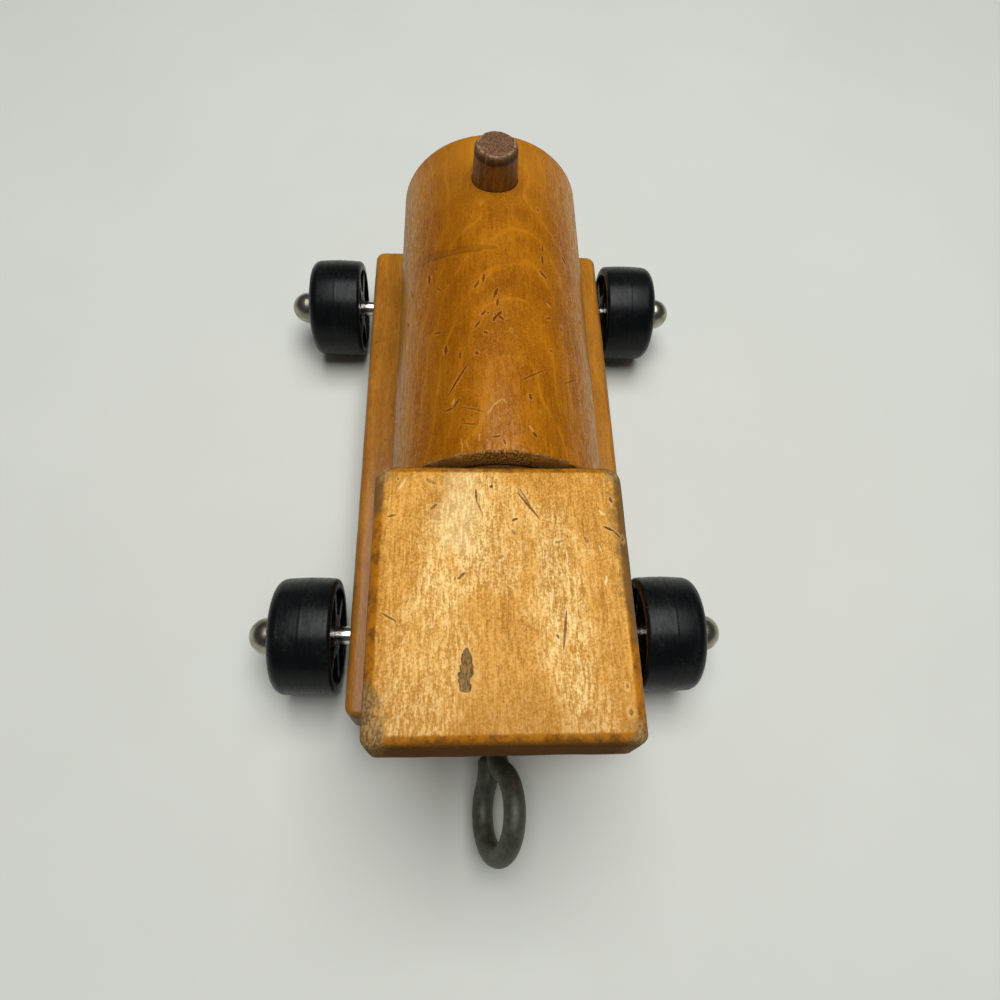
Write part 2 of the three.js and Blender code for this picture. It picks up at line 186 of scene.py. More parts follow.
def baked(piece):
    """A piece's plain mesh as its modifiers make it. The modifiers are removed."""
    graph = bpy.context.evaluated_depsgraph_get()
    mesh = bpy.data.meshes.new_from_object(piece.evaluated_get(graph))
    piece.modifiers.clear()
    return mesh


def drill(piece, tools):
    """Cuts holes in the shape of the tools."""
    cutter = new_piece("drill", tools)
    cut = piece.modifiers.new("holes", "BOOLEAN")
    cut.operation = "DIFFERENCE"
    cut.solver = "EXACT"
    cut.object = cutter
    piece.data = baked(piece)
    bpy.data.objects.remove(cutter)


def dress(piece, material):
    """Gives a piece its one material, and shades it smooth up to its sharp edges."""
    piece.data.materials.clear()
    piece.data.materials.append(material)
    piece.data.shade_smooth()
    piece.data.set_sharp_from_angle(angle=SHARP_ANGLE)


def along(axis, at):
    """The place of a form that is turned round Z, laid along another axis from a point."""
    return Matrix.Translation(at) @ UP.rotation_difference(axis).to_matrix().to_4x4()


def screw_holes(tools, nodes):
    """Adds the countersunk holes for some of the screws to a set of drilling tools."""
    for node in nodes:
        turned(tools, in_metres(SCREW_HOLE), BORE_SIDES, Matrix.Translation(foot_of(node)))


def plain_hole(tools, start, axis, radius, depth):
    """Adds one plain round hole to a set of drilling tools."""
    turned(tools, [(0, 0), (radius, 0), (radius, depth), (0, depth)], BORE_SIDES, along(axis, start))


board_low, board_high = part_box("base_board")
board_shape = eased_block("base_board", BOARD_CORNER, BOARD_EDGE, BOARD_GRID)
rub_edges(board_shape, "base_board", **BOARD_RUB)
base_board = new_piece("base_board_wood", board_shape)

board_tools = bmesh.new()
for axle_node in ("rear_axle", "front_axle"):
    rod_centre = middle_of(axle_node)[0]
    bore_start = Vector((board_low.x - HOLE_START, rod_centre.y, rod_centre.z))
    bore_length = board_high.x - board_low.x + 2 * HOLE_START
    plain_hole(board_tools, bore_start, ACROSS, BORE_RADIUS, bore_length)
eye_x = (board_low.x + board_high.x) / 2 + EYE_SET_RIGHT
eye_z = (board_low.z + board_high.z) / 2
eye_start = Vector((eye_x, board_low.y - HOLE_START, eye_z))
plain_hole(board_tools, eye_start, AHEAD, EYE_HOLE_RADIUS, EYE_HOLE_DEPTH + HOLE_START)
screw_holes(board_tools, BOILER_SCREWS + CAB_SCREWS)
drill(base_board, board_tools)


def sign(how):
    """The two methods by which flows take part in one kind of sum, from the left and from the right."""
    return lambda flow, other: reckon(how, flow, other), lambda flow, other: reckon(how, other, flow)


class Flow:
    """An output in a node tree. Flows are added, multiplied and so on as plain numbers are."""

    __add__, __radd__ = sign("ADD")
    __sub__, __rsub__ = sign("SUBTRACT")
    __mul__, __rmul__ = sign("MULTIPLY")
    __truediv__, __rtruediv__ = sign("DIVIDE")

    def __init__(self, tree, socket):
        self.tree = tree
        self.socket = socket

    def __abs__(self):
        return reckon("ABSOLUTE", self)


def lay(tree, kind, sockets=None, **settings):
    """Puts one node in a tree and gives its outputs by number and by name. An input takes a value, a flow, or
    a list of flows. A colour is given without its alpha."""
    node = tree.nodes.new(kind)
    for name, value in settings.items():
        setattr(node, name, value)
    for key, value in (sockets or {}).items():
        if isinstance(value, (Flow, list)):
            for flow in value if isinstance(value, list) else [value]:
                tree.links.new(flow.socket, node.inputs[key])
        else:
            is_color = node.inputs[key].type == "RGBA"
            node.inputs[key].default_value = (*value, 1) if is_color else value
    flows = [Flow(tree, socket) for socket in node.outputs]
    return {**{flow.socket.name: flow for flow in reversed(flows)}, **dict(enumerate(flows))}


def tree_of(values):
    """The tree of the first flow among some values."""
    return next(value.tree for value in values if isinstance(value, Flow))


def reckon(how, *values):
    """One sum, on vectors if any of the values is one, otherwise on numbers."""
    wide = any(isinstance(v, tuple) or isinstance(v, Flow) and v.socket.type == "VECTOR" for v in values)
    kind = "ShaderNodeVectorMath" if wide else "ShaderNodeMath"
    return lay(tree_of(values), kind, dict(enumerate(values)), operation=how)[0]


def measure(how, *vectors):
    """One sum on vectors with a number as its result."""
    return lay(tree_of(vectors), "ShaderNodeVectorMath", dict(enumerate(vectors)), operation=how)["Value"]


def most(*values):
    """The largest of some numbers."""
    largest = values[0]
    for value in values[1:]:
        largest = reckon("MAXIMUM", largest, value)
    return largest


def vector_of(*parts):
    """A vector of up to three numbers."""
    return lay(tree_of(parts), "ShaderNodeCombineXYZ", dict(enumerate(parts)))[0]


def parts_of(vector):
    """The three numbers of a vector."""
    parts = lay(vector.tree, "ShaderNodeSeparateXYZ", {0: vector})
    return [parts[axis] for axis in range(3)]


def rise(value, low, high):
    """A mask that goes smoothly from 0 at low to 1 at high."""
    sockets = {"Value": value, "From Min": low, "From Max": high}
    return lay(value.tree, "ShaderNodeMapRange", sockets, interpolation_type="SMOOTHSTEP")[0]


def cloud(vector, scale, detail=2.0, rough=0.5):
    """Soft noise from 0 to 1, with one scale or with one for each axis."""
    if isinstance(scale, tuple):
        vector, scale = vector * scale, 1.0
    sockets = {"Vector": vector, "Scale": scale, "Detail": detail, "Roughness": rough}
    return lay(vector.tree, "ShaderNodeTexNoise", sockets)[0]


def tint(color, *layers):
    """Colours laid one over another. Each layer is a mask and the colour to lay where the mask says."""
    for mask, over in layers:
        sockets = {0: mask, 6: color, 7: over}
        color = lay(tree_of((mask, color, over)), "ShaderNodeMix", sockets, data_type="RGBA")[2]
    return color


def effect(name, takes, gives, colors=()):
    """A new shader node group with its inputs' names and defaults and its outputs' names. Inputs for
    colours have no defaults."""
    tree = bpy.data.node_groups.new(name, "ShaderNodeTree")
    for socket_name, default in takes.items():
        kind = "NodeSocketFloat" if isinstance(default, float) else "NodeSocketVector"
        tree.interface.new_socket(socket_name, in_out="INPUT", socket_type=kind).default_value = default
    for socket_name in colors:
        tree.interface.new_socket(socket_name, in_out="INPUT", socket_type="NodeSocketColor")
    for socket_name in gives:
        kind = "NodeSocketColor" if socket_name == "Color" else "NodeSocketFloat"
        tree.interface.new_socket(socket_name, in_out="OUTPUT", socket_type=kind)
    return tree, lay(tree, "NodeGroupInput")


def use(group, vector, **inputs):
    """Puts a shared effect to work on a vector and gives its outputs. Inputs' names have _ for a space."""
    sockets = {name.replace("_", " "): value for name, value in inputs.items()}
    return lay(vector.tree, "ShaderNodeGroup", {"Vector": vector, **sockets}, node_tree=group)


def wood_figure():
    """Growth rings, fibres, pores and clouds of tone in wood whose grain runs along Y, in millimetres."""
    shares = ("Figure", "Lines", "Fibre", "Flecks", "Speckle", "Cloud", "Pores")
    takes = {"Vector": (0, 0, 0), "Pith": (0, 0, 0), "Ring Width": 5.0, **dict.fromkeys(shares, 0.4)}
    gives = ("Color", "Relief", "Sparkle", "End")
    tree, given = effect("wood_figure", takes, gives, ("Pale", "Deep", "Pore Color"))
    vector = given["Vector"]
    sway = lay(tree, "ShaderNodeTexNoise", {"Vector": vector, "Scale": 0.02, "Detail": 2.0})["Color"]
    x, y, z = parts_of(sway * (8, 8, 8) + vector)
    pith_x, lean, pith_z = parts_of(given["Pith"])
    from_pith = measure("LENGTH", vector_of(x - pith_x, 0, lean * y + z - pith_z))
    ring = reckon("SINE", from_pith / given["Ring Width"] * math.tau)
    fibre = cloud(vector, (1.4, 0.08, 1.4), 4.0, 0.65)
    flecks = cloud(vector, (1.4, 0.3, 1.4), 3.0, 0.7)
    speckle = cloud(vector, 1.5, 3.0, 0.7)
    broad = cloud(vector, (0.1, 0.06, 0.1), 5.0, 0.65)
    lines = rise(ring, 0.84, 1.0) * rise(cloud(vector, (0.3, 0.03, 0.3)), 0.35, 0.65)
    tone = ring * given["Figure"] * 0.5 + 0.5 + lines * given["Lines"]
    for layer, share in ((fibre, "Fibre"), (flecks, "Flecks"), (speckle, "Speckle"), (broad, "Cloud")):
        tone = (layer * 2.0 - 1.0) * given[share] + tone
    pores = rise(cloud(vector, (3.1, 0.3, 3.1), 1.0), 0.64, 0.74) * given["Pores"]
    ripple = speckle * 0.4 + flecks * 0.6
    facing = lay(tree, "ShaderNodeTexCoord")["Normal"]
    lay(tree, "NodeGroupOutput", {
        "Color": tint(given["Deep"], (rise(tone, 0.0, 1.0), given["Pale"]), (pores, given["Pore Color"])),
        "Relief": fibre * 0.4 + ripple - pores,
        "Sparkle": rise(ripple, 0.38, 0.62),
        "End": rise(abs(parts_of(facing)[1]), 0.5, 0.92),
    })
    return tree


def edge_wear():
    """Where a block's edges are rubbed: a ragged band along every edge and corner, in millimetres."""
    takes = {"Vector": (0, 0, 0), "Half Size": (10, 10, 10)}
    takes |= {"Width": 3.0, "Ragged": 1.0, "Lumps": 0.2, "Full": 0.35}
    tree, given = effect("edge_wear", takes, ("Mask",))
    across, ahead, up = parts_of(given["Half Size"] - abs(given["Vector"]))
    nearer = reckon("MINIMUM", across, ahead)
    second = most(nearer, reckon("MINIMUM", most(across, ahead), up))
    shift = (cloud(given["Vector"], given["Lumps"], 4.0, 0.6) - 0.5) * given["Ragged"]
    lay(tree, "NodeGroupOutput", {"Mask": rise(second / given["Width"] + shift, 1.0, given["Full"])})
    return tree


def knocks():
    """Small scattered dents and nicks, some long and some round, in millimetres."""
    takes = {"Vector": (0, 0, 0), "Spacing": 8.0, "Size": 0.12, "Share": 0.5, "Stretch": (1, 0.5, 1)}
    tree, given = effect("knocks", takes, ("Mask", "Rim"))
    sockets = {"Vector": given["Vector"] * given["Stretch"], "Scale": 1.0 / given["Spacing"]}
    cells = lay(tree, "ShaderNodeTexVoronoi", sockets)
    chance = lay(tree, "ShaderNodeSeparateColor", {0: cells["Color"]})
    struck = reckon("LESS_THAN", chance[0], given["Share"])
    away = cells["Distance"] / (given["Size"] * (chance[1] * 0.8 + 0.3))
    dent = rise(away, 1.0, 0.4) * struck
    lay(tree, "NodeGroupOutput", {"Mask": dent, "Rim": rise(away, 2.0, 1.2) * struck - dent})
    return tree


WOOD_FIGURE = wood_figure()
EDGE_WEAR = edge_wear()
KNOCKS = knocks()


def new_material(name, **values):
    """A material with its shader's plain values set, and its node tree and shader to add to."""
    made = bpy.data.materials.new(name)
    made.use_nodes = True
    shader = made.node_tree.nodes["Principled BSDF"]
    for socket_name, value in values.items():
        shader.inputs[socket_name.replace("_", " ")].default_value = value
    return made, made.node_tree, shader


def millimetres(tree, centre=(0, 0, 0), turn=(0, 0, 0)):
    """The piece's own coordinates in millimetres from a centre, turned where the grain runs another way."""
    own = lay(tree, "ShaderNodeTexCoord")["Object"]
    sockets = {"Vector": own - tuple(centre), "Scale": (1 / MM, 1 / MM, 1 / MM), "Rotation": turn}
    return lay(tree, "ShaderNodeMapping", sockets)[0]


def finish_surface(shader, color, roughness, height, depth, **more):
    """Links a surface's colour, roughness and relief to its shader. The relief is so many metres deep."""
    bump = lay(height.tree, "ShaderNodeBump", {"Height": height, "Distance": depth, "Strength": 1.0})[0]
    for name, flow in {"Base_Color": color, "Roughness": roughness, "Normal": bump, **more}.items():
        flow.tree.links.new(flow.socket, shader.inputs[name.replace("_", " ")])


def board_varnish(name, node, pith, seed):
    """The amber varnish of the base board and the cab block."""
    made, tree, shader = new_material(name, Coat_Weight=0.3, Coat_Roughness=0.2, Specular_IOR_Level=0.05)
    centre, half = middle_of(node)
    place = millimetres(tree, centre)
    wood = use(
        WOOD_FIGURE, place, Pith=pith, Ring_Width=3.2, Figure=0.12, Lines=0.2, Fibre=0.4, Flecks=0.4,
        Speckle=0.45, Cloud=0.45, Pores=0.4, Pale=(0.5, 0.205, 0.02), Deep=(0.31, 0.11, 0.006),
        Pore_Color=(0.13, 0.045, 0.008),
    )
    worn = use(EDGE_WEAR, place, Half_Size=tuple(half / MM), Width=2.2, Ragged=1.6, Lumps=0.22)["Mask"]
    shifted = place + (seed, 0.37 * seed, 0.71 * seed)
    dents = use(KNOCKS, shifted, Spacing=8.0, Size=0.12, Share=0.4, Stretch=(1, 0.55, 1))["Mask"]
    color = tint(
        wood["Color"],
        (wood["End"], tint(wood["Color"], (0.75, (0.085, 0.045, 0.016)))),
        (worn * 0.5, (0.2, 0.105, 0.035)),
        (dents * 0.6, (0.12, 0.045, 0.01)),
    )
    rough = wood["Relief"] * -0.12 + 0.5 + wood["End"] * 0.25
    finish_surface(shader, color, rough, wood["Relief"] * 0.25 - dents, 0.12 * MM)
    return made


dress(base_board, board_varnish("board_varnish", "base_board", BOARD_PITH, 0.0))
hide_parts("base_board")
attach(base_board, "chassis")

# Boiler
# A round log turned from one piece of hardwood and varnished, with its front edge eased and its rear end left
# as it was sawn. It lies on the board on a narrow flat, held by two screws from below.

BOILER_SIDES = 288
BOILER_STEPS = 96
BOILER_FRONT_EDGE = 1.5 * MM
BOILER_REAR_EDGE = 0.4 * MM
END_RINGS = 14
FRONT_EDGE_STEPS = 8
TURNING_WAVER = 0.07 * MM
TURNING_LUMPS = Vector((60, 45, 60))
SAW_RAGGED = 0.6 * MM
SAW_BRISTLES = Vector((1900, 0, 1900))
SAW_BRISTLES_SEED = Vector((0, 3, 0))
SAW_HOLLOWS = 0.12 * MM
SAW_LUMPS = Vector((500, 0, 500))
SAW_LUMPS_SEED = Vector((0, 9, 0))
CHIMNEY_HOLE_RADIUS = 8.06 * MM
CHIMNEY_HOLE_MARGIN = 0.3 * MM

boiler_low, boiler_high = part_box("boiler")
boiler_radius = (boiler_high.x - boiler_low.x) / 2
boiler_axis = Vector(((boiler_low.x + boiler_high.x) / 2, boiler_low.y, boiler_high.z - boiler_radius))
boiler_length = boiler_high.y - boiler_low.y
rear_flat = boiler_radius - BOILER_REAR_EDGE
front_flat = boiler_radius - BOILER_FRONT_EDGE
barrel_end = boiler_length - BOILER_FRONT_EDGE


def arc_points(radius, height, size, start, end, steps, rising=None):
    """Points on a round corner of a turned profile, which may rise by more or less than it goes in."""
    points = []
    for degrees in evenly(start, end, steps):
        angle = math.radians(degrees)
        points.append((radius + size * math.cos(angle), height + (rising or size) * math.sin(angle)))
    return points


def to_middle(radius, height, rings):
    """Points from inside a radius in to the axis, which close a turned profile with a flat end."""
    return [(inner, height) for inner in reversed(evenly(0, radius, rings)[:-1])]


boiler_profile = [(radius, 0.0) for radius in evenly(0, rear_flat, END_RINGS)]
boiler_profile += [(boiler_radius, height) for height in evenly(BOILER_REAR_EDGE, barrel_end, BOILER_STEPS)]
boiler_profile += arc_points(front_flat, barrel_end, BOILER_FRONT_EDGE, 0, 90, FRONT_EDGE_STEPS)[1:]
boiler_profile += to_middle(front_flat, boiler_length, END_RINGS)

boiler_shape = turned(bmesh.new(), boiler_profile, BOILER_SIDES, along(AHEAD, boiler_axis))
for vert in boiler_shape.verts:
    spot = vert.co - boiler_axis
    outward = Vector((spot.x, 0, spot.z))
    if outward.length > 0.9 * rear_flat:
        waver = TURNING_WAVER * noise.noise(spot * TURNING_LUMPS)
        vert.co += outward.normalized() * (waver - TURNING_WAVER)
    if spot.y <= 1.1 * BOILER_REAR_EDGE:
        ragged = noise.noise(spot * SAW_BRISTLES + SAW_BRISTLES_SEED)
        vert.co.y += SAW_RAGGED * (0.5 + 0.5 * ragged) * min(1.0, outward.length / boiler_radius) ** 8
        vert.co.y += SAW_HOLLOWS * noise.noise(spot * SAW_LUMPS + SAW_LUMPS_SEED)
    vert.co.z = max(vert.co.z, boiler_low.z)
boiler = new_piece("boiler_log", boiler_shape)

stack_foot = foot_of("smokestack")
stack_low, stack_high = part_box("smokestack")
boiler_tools = bmesh.new()
hole_foot = stack_foot - UP * CHIMNEY_HOLE_MARGIN
plain_hole(boiler_tools, hole_foot, UP, CHIMNEY_HOLE_RADIUS, stack_high.z - hole_foot.z)
screw_holes(boiler_tools, BOILER_SCREWS)
drill(boiler, boiler_tools)


def scratch_mark():
    """One mark from start to end, in millimetres: a scratch that thins out to both ends, or a spot."""
    takes = {"Vector": (0, 0, 0), "Start": (0, 0, 0), "End": (0, 1, 0), "Width": 0.5, "Ragged": 1.0}
    tree, given = effect("scratch_mark", takes, ("Mask", "Rim"))
    reach = given["End"] - given["Start"]
    from_start = given["Vector"] - given["Start"]
    length_squared = measure("DOT_PRODUCT", reach, reach)
    share = measure("DOT_PRODUCT", from_start, reach) / length_squared
    share = lay(tree, "ShaderNodeClamp", {0: share})[0]
    nearest = lay(tree, "ShaderNodeVectorMath", {0: reach, 3: share}, operation="SCALE")[0]
    slender = reckon("SQRT", length_squared) / (given["Width"] * 6.0)
    taper = lay(tree, "ShaderNodeClamp", {0: slender})[0]
    thin = reckon("SINE", share * (0.8 * math.pi) + 0.1 * math.pi)
    width = given["Width"] * (taper * (thin - 1.0) + 1.0) * given["Ragged"]
    across = measure("DISTANCE", from_start, nearest) / width
    mask = rise(across, 1.0, 0.35)
    lay(tree, "NodeGroupOutput", {"Mask": mask, "Rim": rise(across, 2.2, 1.0) - mask})
    return tree


SCRATCH_MARK = scratch_mark()


def marks(place, lines, lumps=1.6):
    """A list of marks as one mask, and their rims. Each has a start, an end, a width and how dark it is."""
    ragged = cloud(place, lumps) * 1.8 + 0.1
    mask, rim = 0.0, 0.0
    for *ends, width, dark in lines:
        start, end = (*ends[:2], 0), (*ends[2:], 0)
        mark = use(SCRATCH_MARK, place, Start=start, End=end, Width=width, Ragged=ragged)
        mask = most(mask, mark["Mask"] * dark)
        rim = most(rim, mark["Rim"] * dark)
    return mask, rim


# Places round the log from its top line, and along the model, in millimetres
BOILER_NICKS = [
    (-16.2, 1.8, -9.5, 12.2, 0.5, 0.9), (-12.3, 0.2, -14.2, -2.8, 0.5, 0.8),
    (-14.2, -2.6, -17.2, -3.3, 0.5, 0.8), (-11.8, -3.0, -4.9, -5.5, 0.35, 0.6),
    (-11.5, -8.6, -7.0, -9.6, 0.4, 0.6), (-2.7, -14.2, -0.5, -13.8, 0.45, 0.8),
    (0.4, -15.2, 0.7, -16.3, 0.45, 0.7), (9.0, -11.8, 9.9, -13.0, 0.6, 0.8),
    (8.6, 0.9, 8.9, -0.4, 0.6, 0.95), (5.8, 5.4, 14.4, 11.4, 0.42, 0.65), (21.0, 8.8, 28.0, 13.8, 0.4, 0.5),
    (-16.9, 20.6, -16.9, 17.4, 0.75, 0.85), (-12.1, 17.2, -12.2, 14.2, 0.5, 0.7),
    (-24.2, 53.2, -23.9, 49.0, 0.75, 0.9), (-4.4, 46.4, -4.7, 43.2, 0.65, 0.85),
    (-6.0, 43.7, -7.4, 41.1, 0.6, 0.8), (-0.2, 40.2, -1.4, 36.6, 0.7, 0.85),
    (-0.2, 35.8, -0.4, 33.4, 0.65, 0.8), (-4.2, 31.4, -5.2, 29.9, 0.6, 0.8),
    (0.7, 30.8, -0.5, 29.4, 0.65, 0.95), (-0.8, 29.4, -1.7, 27.5, 0.65, 0.95),
    (0.0, 29.4, 1.3, 27.8, 0.6, 0.8), (-6.0, 27.4, -7.3, 25.3, 0.6, 0.8),
    (-4.3, 23.0, -3.8, 22.8, 0.6, 0.85), (-7.1, 15.6, -6.7, 15.2, 0.6, 0.75),
    (16.2, 62.7, 16.0, 60.2, 0.55, 0.7), (15.8, 58.0, 15.7, 54.5, 0.6, 0.85),
    (14.4, 51.0, 16.8, 48.6, 0.75, 0.85), (25.4, 63.1, 26.4, 61.6, 0.7, 0.85),
    (-20.9, 45.6, -18.8, 43.6, 0.5, 0.6), (-21.5, 27.3, -18.5, 26.6, 0.55, 0.75),
    (15.8, 31.6, 17.3, 32.5, 0.6, 0.6), (16.4, 19.4, 17.2, 19.2, 0.55, 0.6),
    (23.8, 20.0, 24.8, 19.2, 0.55, 0.6), (-33.8, 53.2, -32.5, 48.5, 0.6, 0.7),
    (-35.5, 40.4, -34.8, 38.1, 0.6, 0.7), (33.9, 41.5, 34.3, 39.9, 0.6, 0.7),
]
# The crease: two thin dark lines along it, and two wide soft bands of painted shade beside it
BOILER_CREASE_AND_SHADE = [
    (-25.0, 60.9, -17.0, 58.9, 2.8, 0.4), (-18.5, 59.0, -0.4, 57.6, 2.4, 0.35),
    (-25.0, 59.6, -17.5, 57.5, 0.8, 0.75), (-17.9, 57.6, -5.0, 56.4, 0.6, 0.6),
]
BOILER_CHIPS = [
    (-14.6, -1.4, -13.8, 0.2, 0.5, 0.55), (7.9, -9.7, 9.0, -11.6, 0.5, 0.6),
    (-4.3, -6.9, -2.2, -3.3, 0.55, 0.4), (-2.4, -3.6, 0.3, -1.2, 0.6, 0.5),
    (0.1, -1.2, 1.6, -2.7, 0.55, 0.35), (-11.8, -13.4, -11.2, -18.1, 0.35, 0.35),
    (-10.3, -14.3, -9.6, -17.4, 0.35, 0.35), (-6.3, -12.6, -6.6, -15.2, 0.4, 0.4),
    (16.6, 37.9, 17.4, 36.7, 0.5, 0.6),
]
BOILER_PECKED = [(-3.0, 31.5, 2.4, 26.5, 7.0, 1.0)]

boiler_varnish, tree, shader = new_material("boiler_varnish", Coat_Roughness=0.24, Specular_IOR_Level=0.0)
place = millimetres(tree, boiler_axis)
wood = use(
    WOOD_FIGURE, place, Pith=(3, -0.075, -30), Ring_Width=1.7, Figure=0.1, Lines=0.4, Fibre=0.3, Flecks=0.36,
    Speckle=0.55, Cloud=0.6, Pores=0.45, Pale=(0.5, 0.18, 0.005), Deep=(0.25, 0.074, 0.001),
    Pore_Color=(0.11, 0.033, 0.004),
)
side, length, height = parts_of(place)
round_log = reckon("ARCTAN2", side, height) * (boiler_radius / MM)
world_length = length + boiler_axis.y / MM
unrolled = vector_of(round_log, world_length)
dents = use(KNOCKS, unrolled, Spacing=5.0, Size=0.13, Share=0.42, Stretch=(1, 0.5, 1))
pecks = use(KNOCKS, unrolled, Spacing=1.7, Size=0.3, Share=0.55, Stretch=(1, 0.7, 1))
pecked = marks(unrolled, BOILER_PECKED, 0.3)[0]
nicks, nick_rims = marks(unrolled, BOILER_NICKS)
crease_and_shade = marks(unrolled, BOILER_CREASE_AND_SHADE, 0.7)[0]
pale_chips = marks(unrolled, BOILER_CHIPS)[0]
dark_spots = most(nicks, dents["Mask"] * 0.7, pecks["Mask"] * pecked)
rims = most(nick_rims, dents["Rim"] * 0.5, pecks["Rim"] * pecked)
down_side = abs(round_log)
# The left flank, which gets painted shade
left_flank_shade = rise(round_log, -5.0, -14.0) * rise(round_log, -30.0, -22.0)

# The sawn rear end: bristly rim, dark end grain lighter to left and right, a painted shadow line, a paler
# part below
end_speckle = cloud(place, 1.9, 3.0, 0.7)
from_axis = measure("LENGTH", vector_of(side, height))
bristles = cloud(vector_of(round_log * 1.8, from_axis * 0.35), 1.0, 2.0, 0.6)
end_color = tint(
    (0.08, 0.042, 0.009),
    (rise(end_speckle, 0.4, 0.66), (0.6, 0.36, 0.11)),
    (rise(from_axis, 32.0, 32.9) * rise(bristles, 0.48, 0.58), (0.66, 0.44, 0.17)),
    (rise(abs(side), 4.0, 15.0) * 0.6, (0.5, 0.26, 0.065)),
    # painted shadow: a thin dark line across the lower part of the end
    (rise(from_axis, 26.8, 26.1), (0.12, 0.035, 0.008)),
    (rise(from_axis, 25.8, 25.3) * 0.85, (0.8, 0.46, 0.13)),
)
front_color = tint(
    wood["Color"],
    (0.55, (0.17, 0.055, 0.004)),
    (rise(end_speckle, 0.6, 0.72), (0.07, 0.025, 0.004)),
)
sawn = wood["End"] * rise(length, 6.0, 3.0)
color = tint(
    wood["Color"],
    # painted shade: darker down both flanks, most on the left
    (rise(down_side, 7.0, 20.0) * 0.14 + left_flank_shade * 0.26, (0.2, 0.055, 0.0005)),
    # painted light: lighter towards the front
    (rise(world_length, 66.0, 104.0) * 0.16, (0.78, 0.36, 0.05)),
    # painted reflection: paler low on both sides, where the varnish reflects the pale surroundings
    (rise(down_side, 27.0, 35.0) * 0.45, (0.56, 0.27, 0.05)),
    # the crease's dark lines and its painted shade
    (crease_and_shade, (0.16, 0.05, 0.003)),
    # pale rims round the nicks and dents: partly lifted varnish, partly painted highlight on their raised
    # edges
    (rims * 0.45, (0.6, 0.27, 0.05)),
    (dark_spots, (0.15, 0.032, 0.002)),
    (pale_chips, (0.68, 0.38, 0.1)),
    (wood["End"], front_color),
    (sawn, end_color),
)
rough = wood["Relief"] * -0.12 + 0.5 + sawn * 0.35
relief = wood["Relief"] * 0.35 - (crease_and_shade * 0.5 + dark_spots)
gloss = (wood["Sparkle"] * wood["Sparkle"] * 0.75 + 0.2) * (1.0 - most(dark_spots, sawn))
finish_surface(shader, color, rough, relief, 0.15 * MM, Coat_Weight=gloss)
dress(boiler, boiler_varnish)
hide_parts("boiler")
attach(boiler, "chassis")

# Smokestack
# A short peg of dark wood, glued upright in a hole in the boiler. Its top edge is round and its dark stain
# is rubbed off there by handling.

STACK_SIDES = 96
STACK_CHAMFER = 0.4 * MM
STACK_STRAIGHT = 0.6
STACK_TAPER_START = 0.7
STACK_TAPER = 0.6 * MM
STACK_ROUND = 1.5 * MM
STACK_DROP = 2.3 * MM
STACK_STEPS = 26
STACK_ROUND_STEPS = 8
STACK_RINGS = 9
STACK_WEAR = 0.5 * MM
STACK_LUMPS = 420
STACK_CHIPS = Vector((260, 260, 0))
STACK_CHIPS_SEED = Vector((0, 0, 4))

stack_radius = (stack_high.x - stack_low.x) / 2
stack_height = stack_high.z - stack_low.z
stack_seat = boiler_high.z - stack_low.z
stack_top = stack_height - STACK_DROP
stack_rim = stack_radius - STACK_TAPER - STACK_ROUND
stack_profile = [(0, 0), (stack_radius - STACK_CHAMFER, 0), (stack_radius, STACK_CHAMFER)]
stack_profile.append((stack_radius, stack_seat * STACK_STRAIGHT))
stack_profile += zip(
    evenly(stack_radius, stack_radius - STACK_TAPER, STACK_STEPS),
    evenly(stack_seat * STACK_TAPER_START, stack_top, STACK_STEPS),
)
stack_profile += arc_points(stack_rim, stack_top, STACK_ROUND, 0, 90, STACK_ROUND_STEPS, STACK_DROP)[1:]
stack_profile += to_middle(stack_rim, stack_height, STACK_RINGS)

stack_shape = turned(bmesh.new(), stack_profile, STACK_SIDES, Matrix.Translation(stack_foot))
for vert in stack_shape.verts:
    spot = vert.co - stack_foot
    outward = Vector((spot.x, spot.y, 0))
    above = max(0.0, (spot.z - stack_seat) / (stack_height - stack_seat))
    lumps = 0.5 + 0.5 * noise.noise(spot * STACK_LUMPS)
    if outward.length > 0.5 * stack_rim and above > 0:
        chip = max(0.0, noise.noise(spot * STACK_CHIPS + STACK_CHIPS_SEED)) * above ** 6
        vert.co -= outward.normalized() * STACK_WEAR * (0.4 * lumps * above + chip)
    if above > 0.9:
        vert.co.z -= STACK_WEAR * lumps * 0.8
smokestack = new_piece("smokestack_peg", stack_shape)

dark_stain, tree, shader = new_material(
    "dark_stain", Coat_Weight=0.15, Coat_Roughness=0.3, Specular_IOR_Level=0.1
)
place = millimetres(tree, stack_foot + UP * stack_height)
upright = millimetres(tree, stack_foot, (math.pi / 2, 0, 0))
wood = use(
    WOOD_FIGURE, upright, Pith=(26, 0.03, 8), Ring_Width=2.4, Figure=0.12, Lines=0.1, Fibre=0.3, Flecks=0.4,
    Speckle=0.4, Cloud=0.6, Pores=0.3, Pale=(0.33, 0.14, 0.016), Deep=(0.15, 0.045, 0.003),
    Pore_Color=(0.022, 0.009, 0.003),
)
x, y, z = parts_of(place)
lumps = cloud(place, 0.55, 4.0, 0.65)
specks = cloud(place, 1.7, 3.0, 0.75)
top = rise(z, -1.1, -0.5)
top_color = tint((0.075, 0.034, 0.017), (rise(specks, 0.36, 0.64), (0.28, 0.145, 0.075)))
rounded = rise(z, -3.0, -2.4) * (1.0 - top)
jagged = specks * 2.0 + measure("LENGTH", vector_of(x, y))
ridge = rise(abs(jagged - 7.2), 0.55, 0.15) * rise(z, -2.4, -1.2)
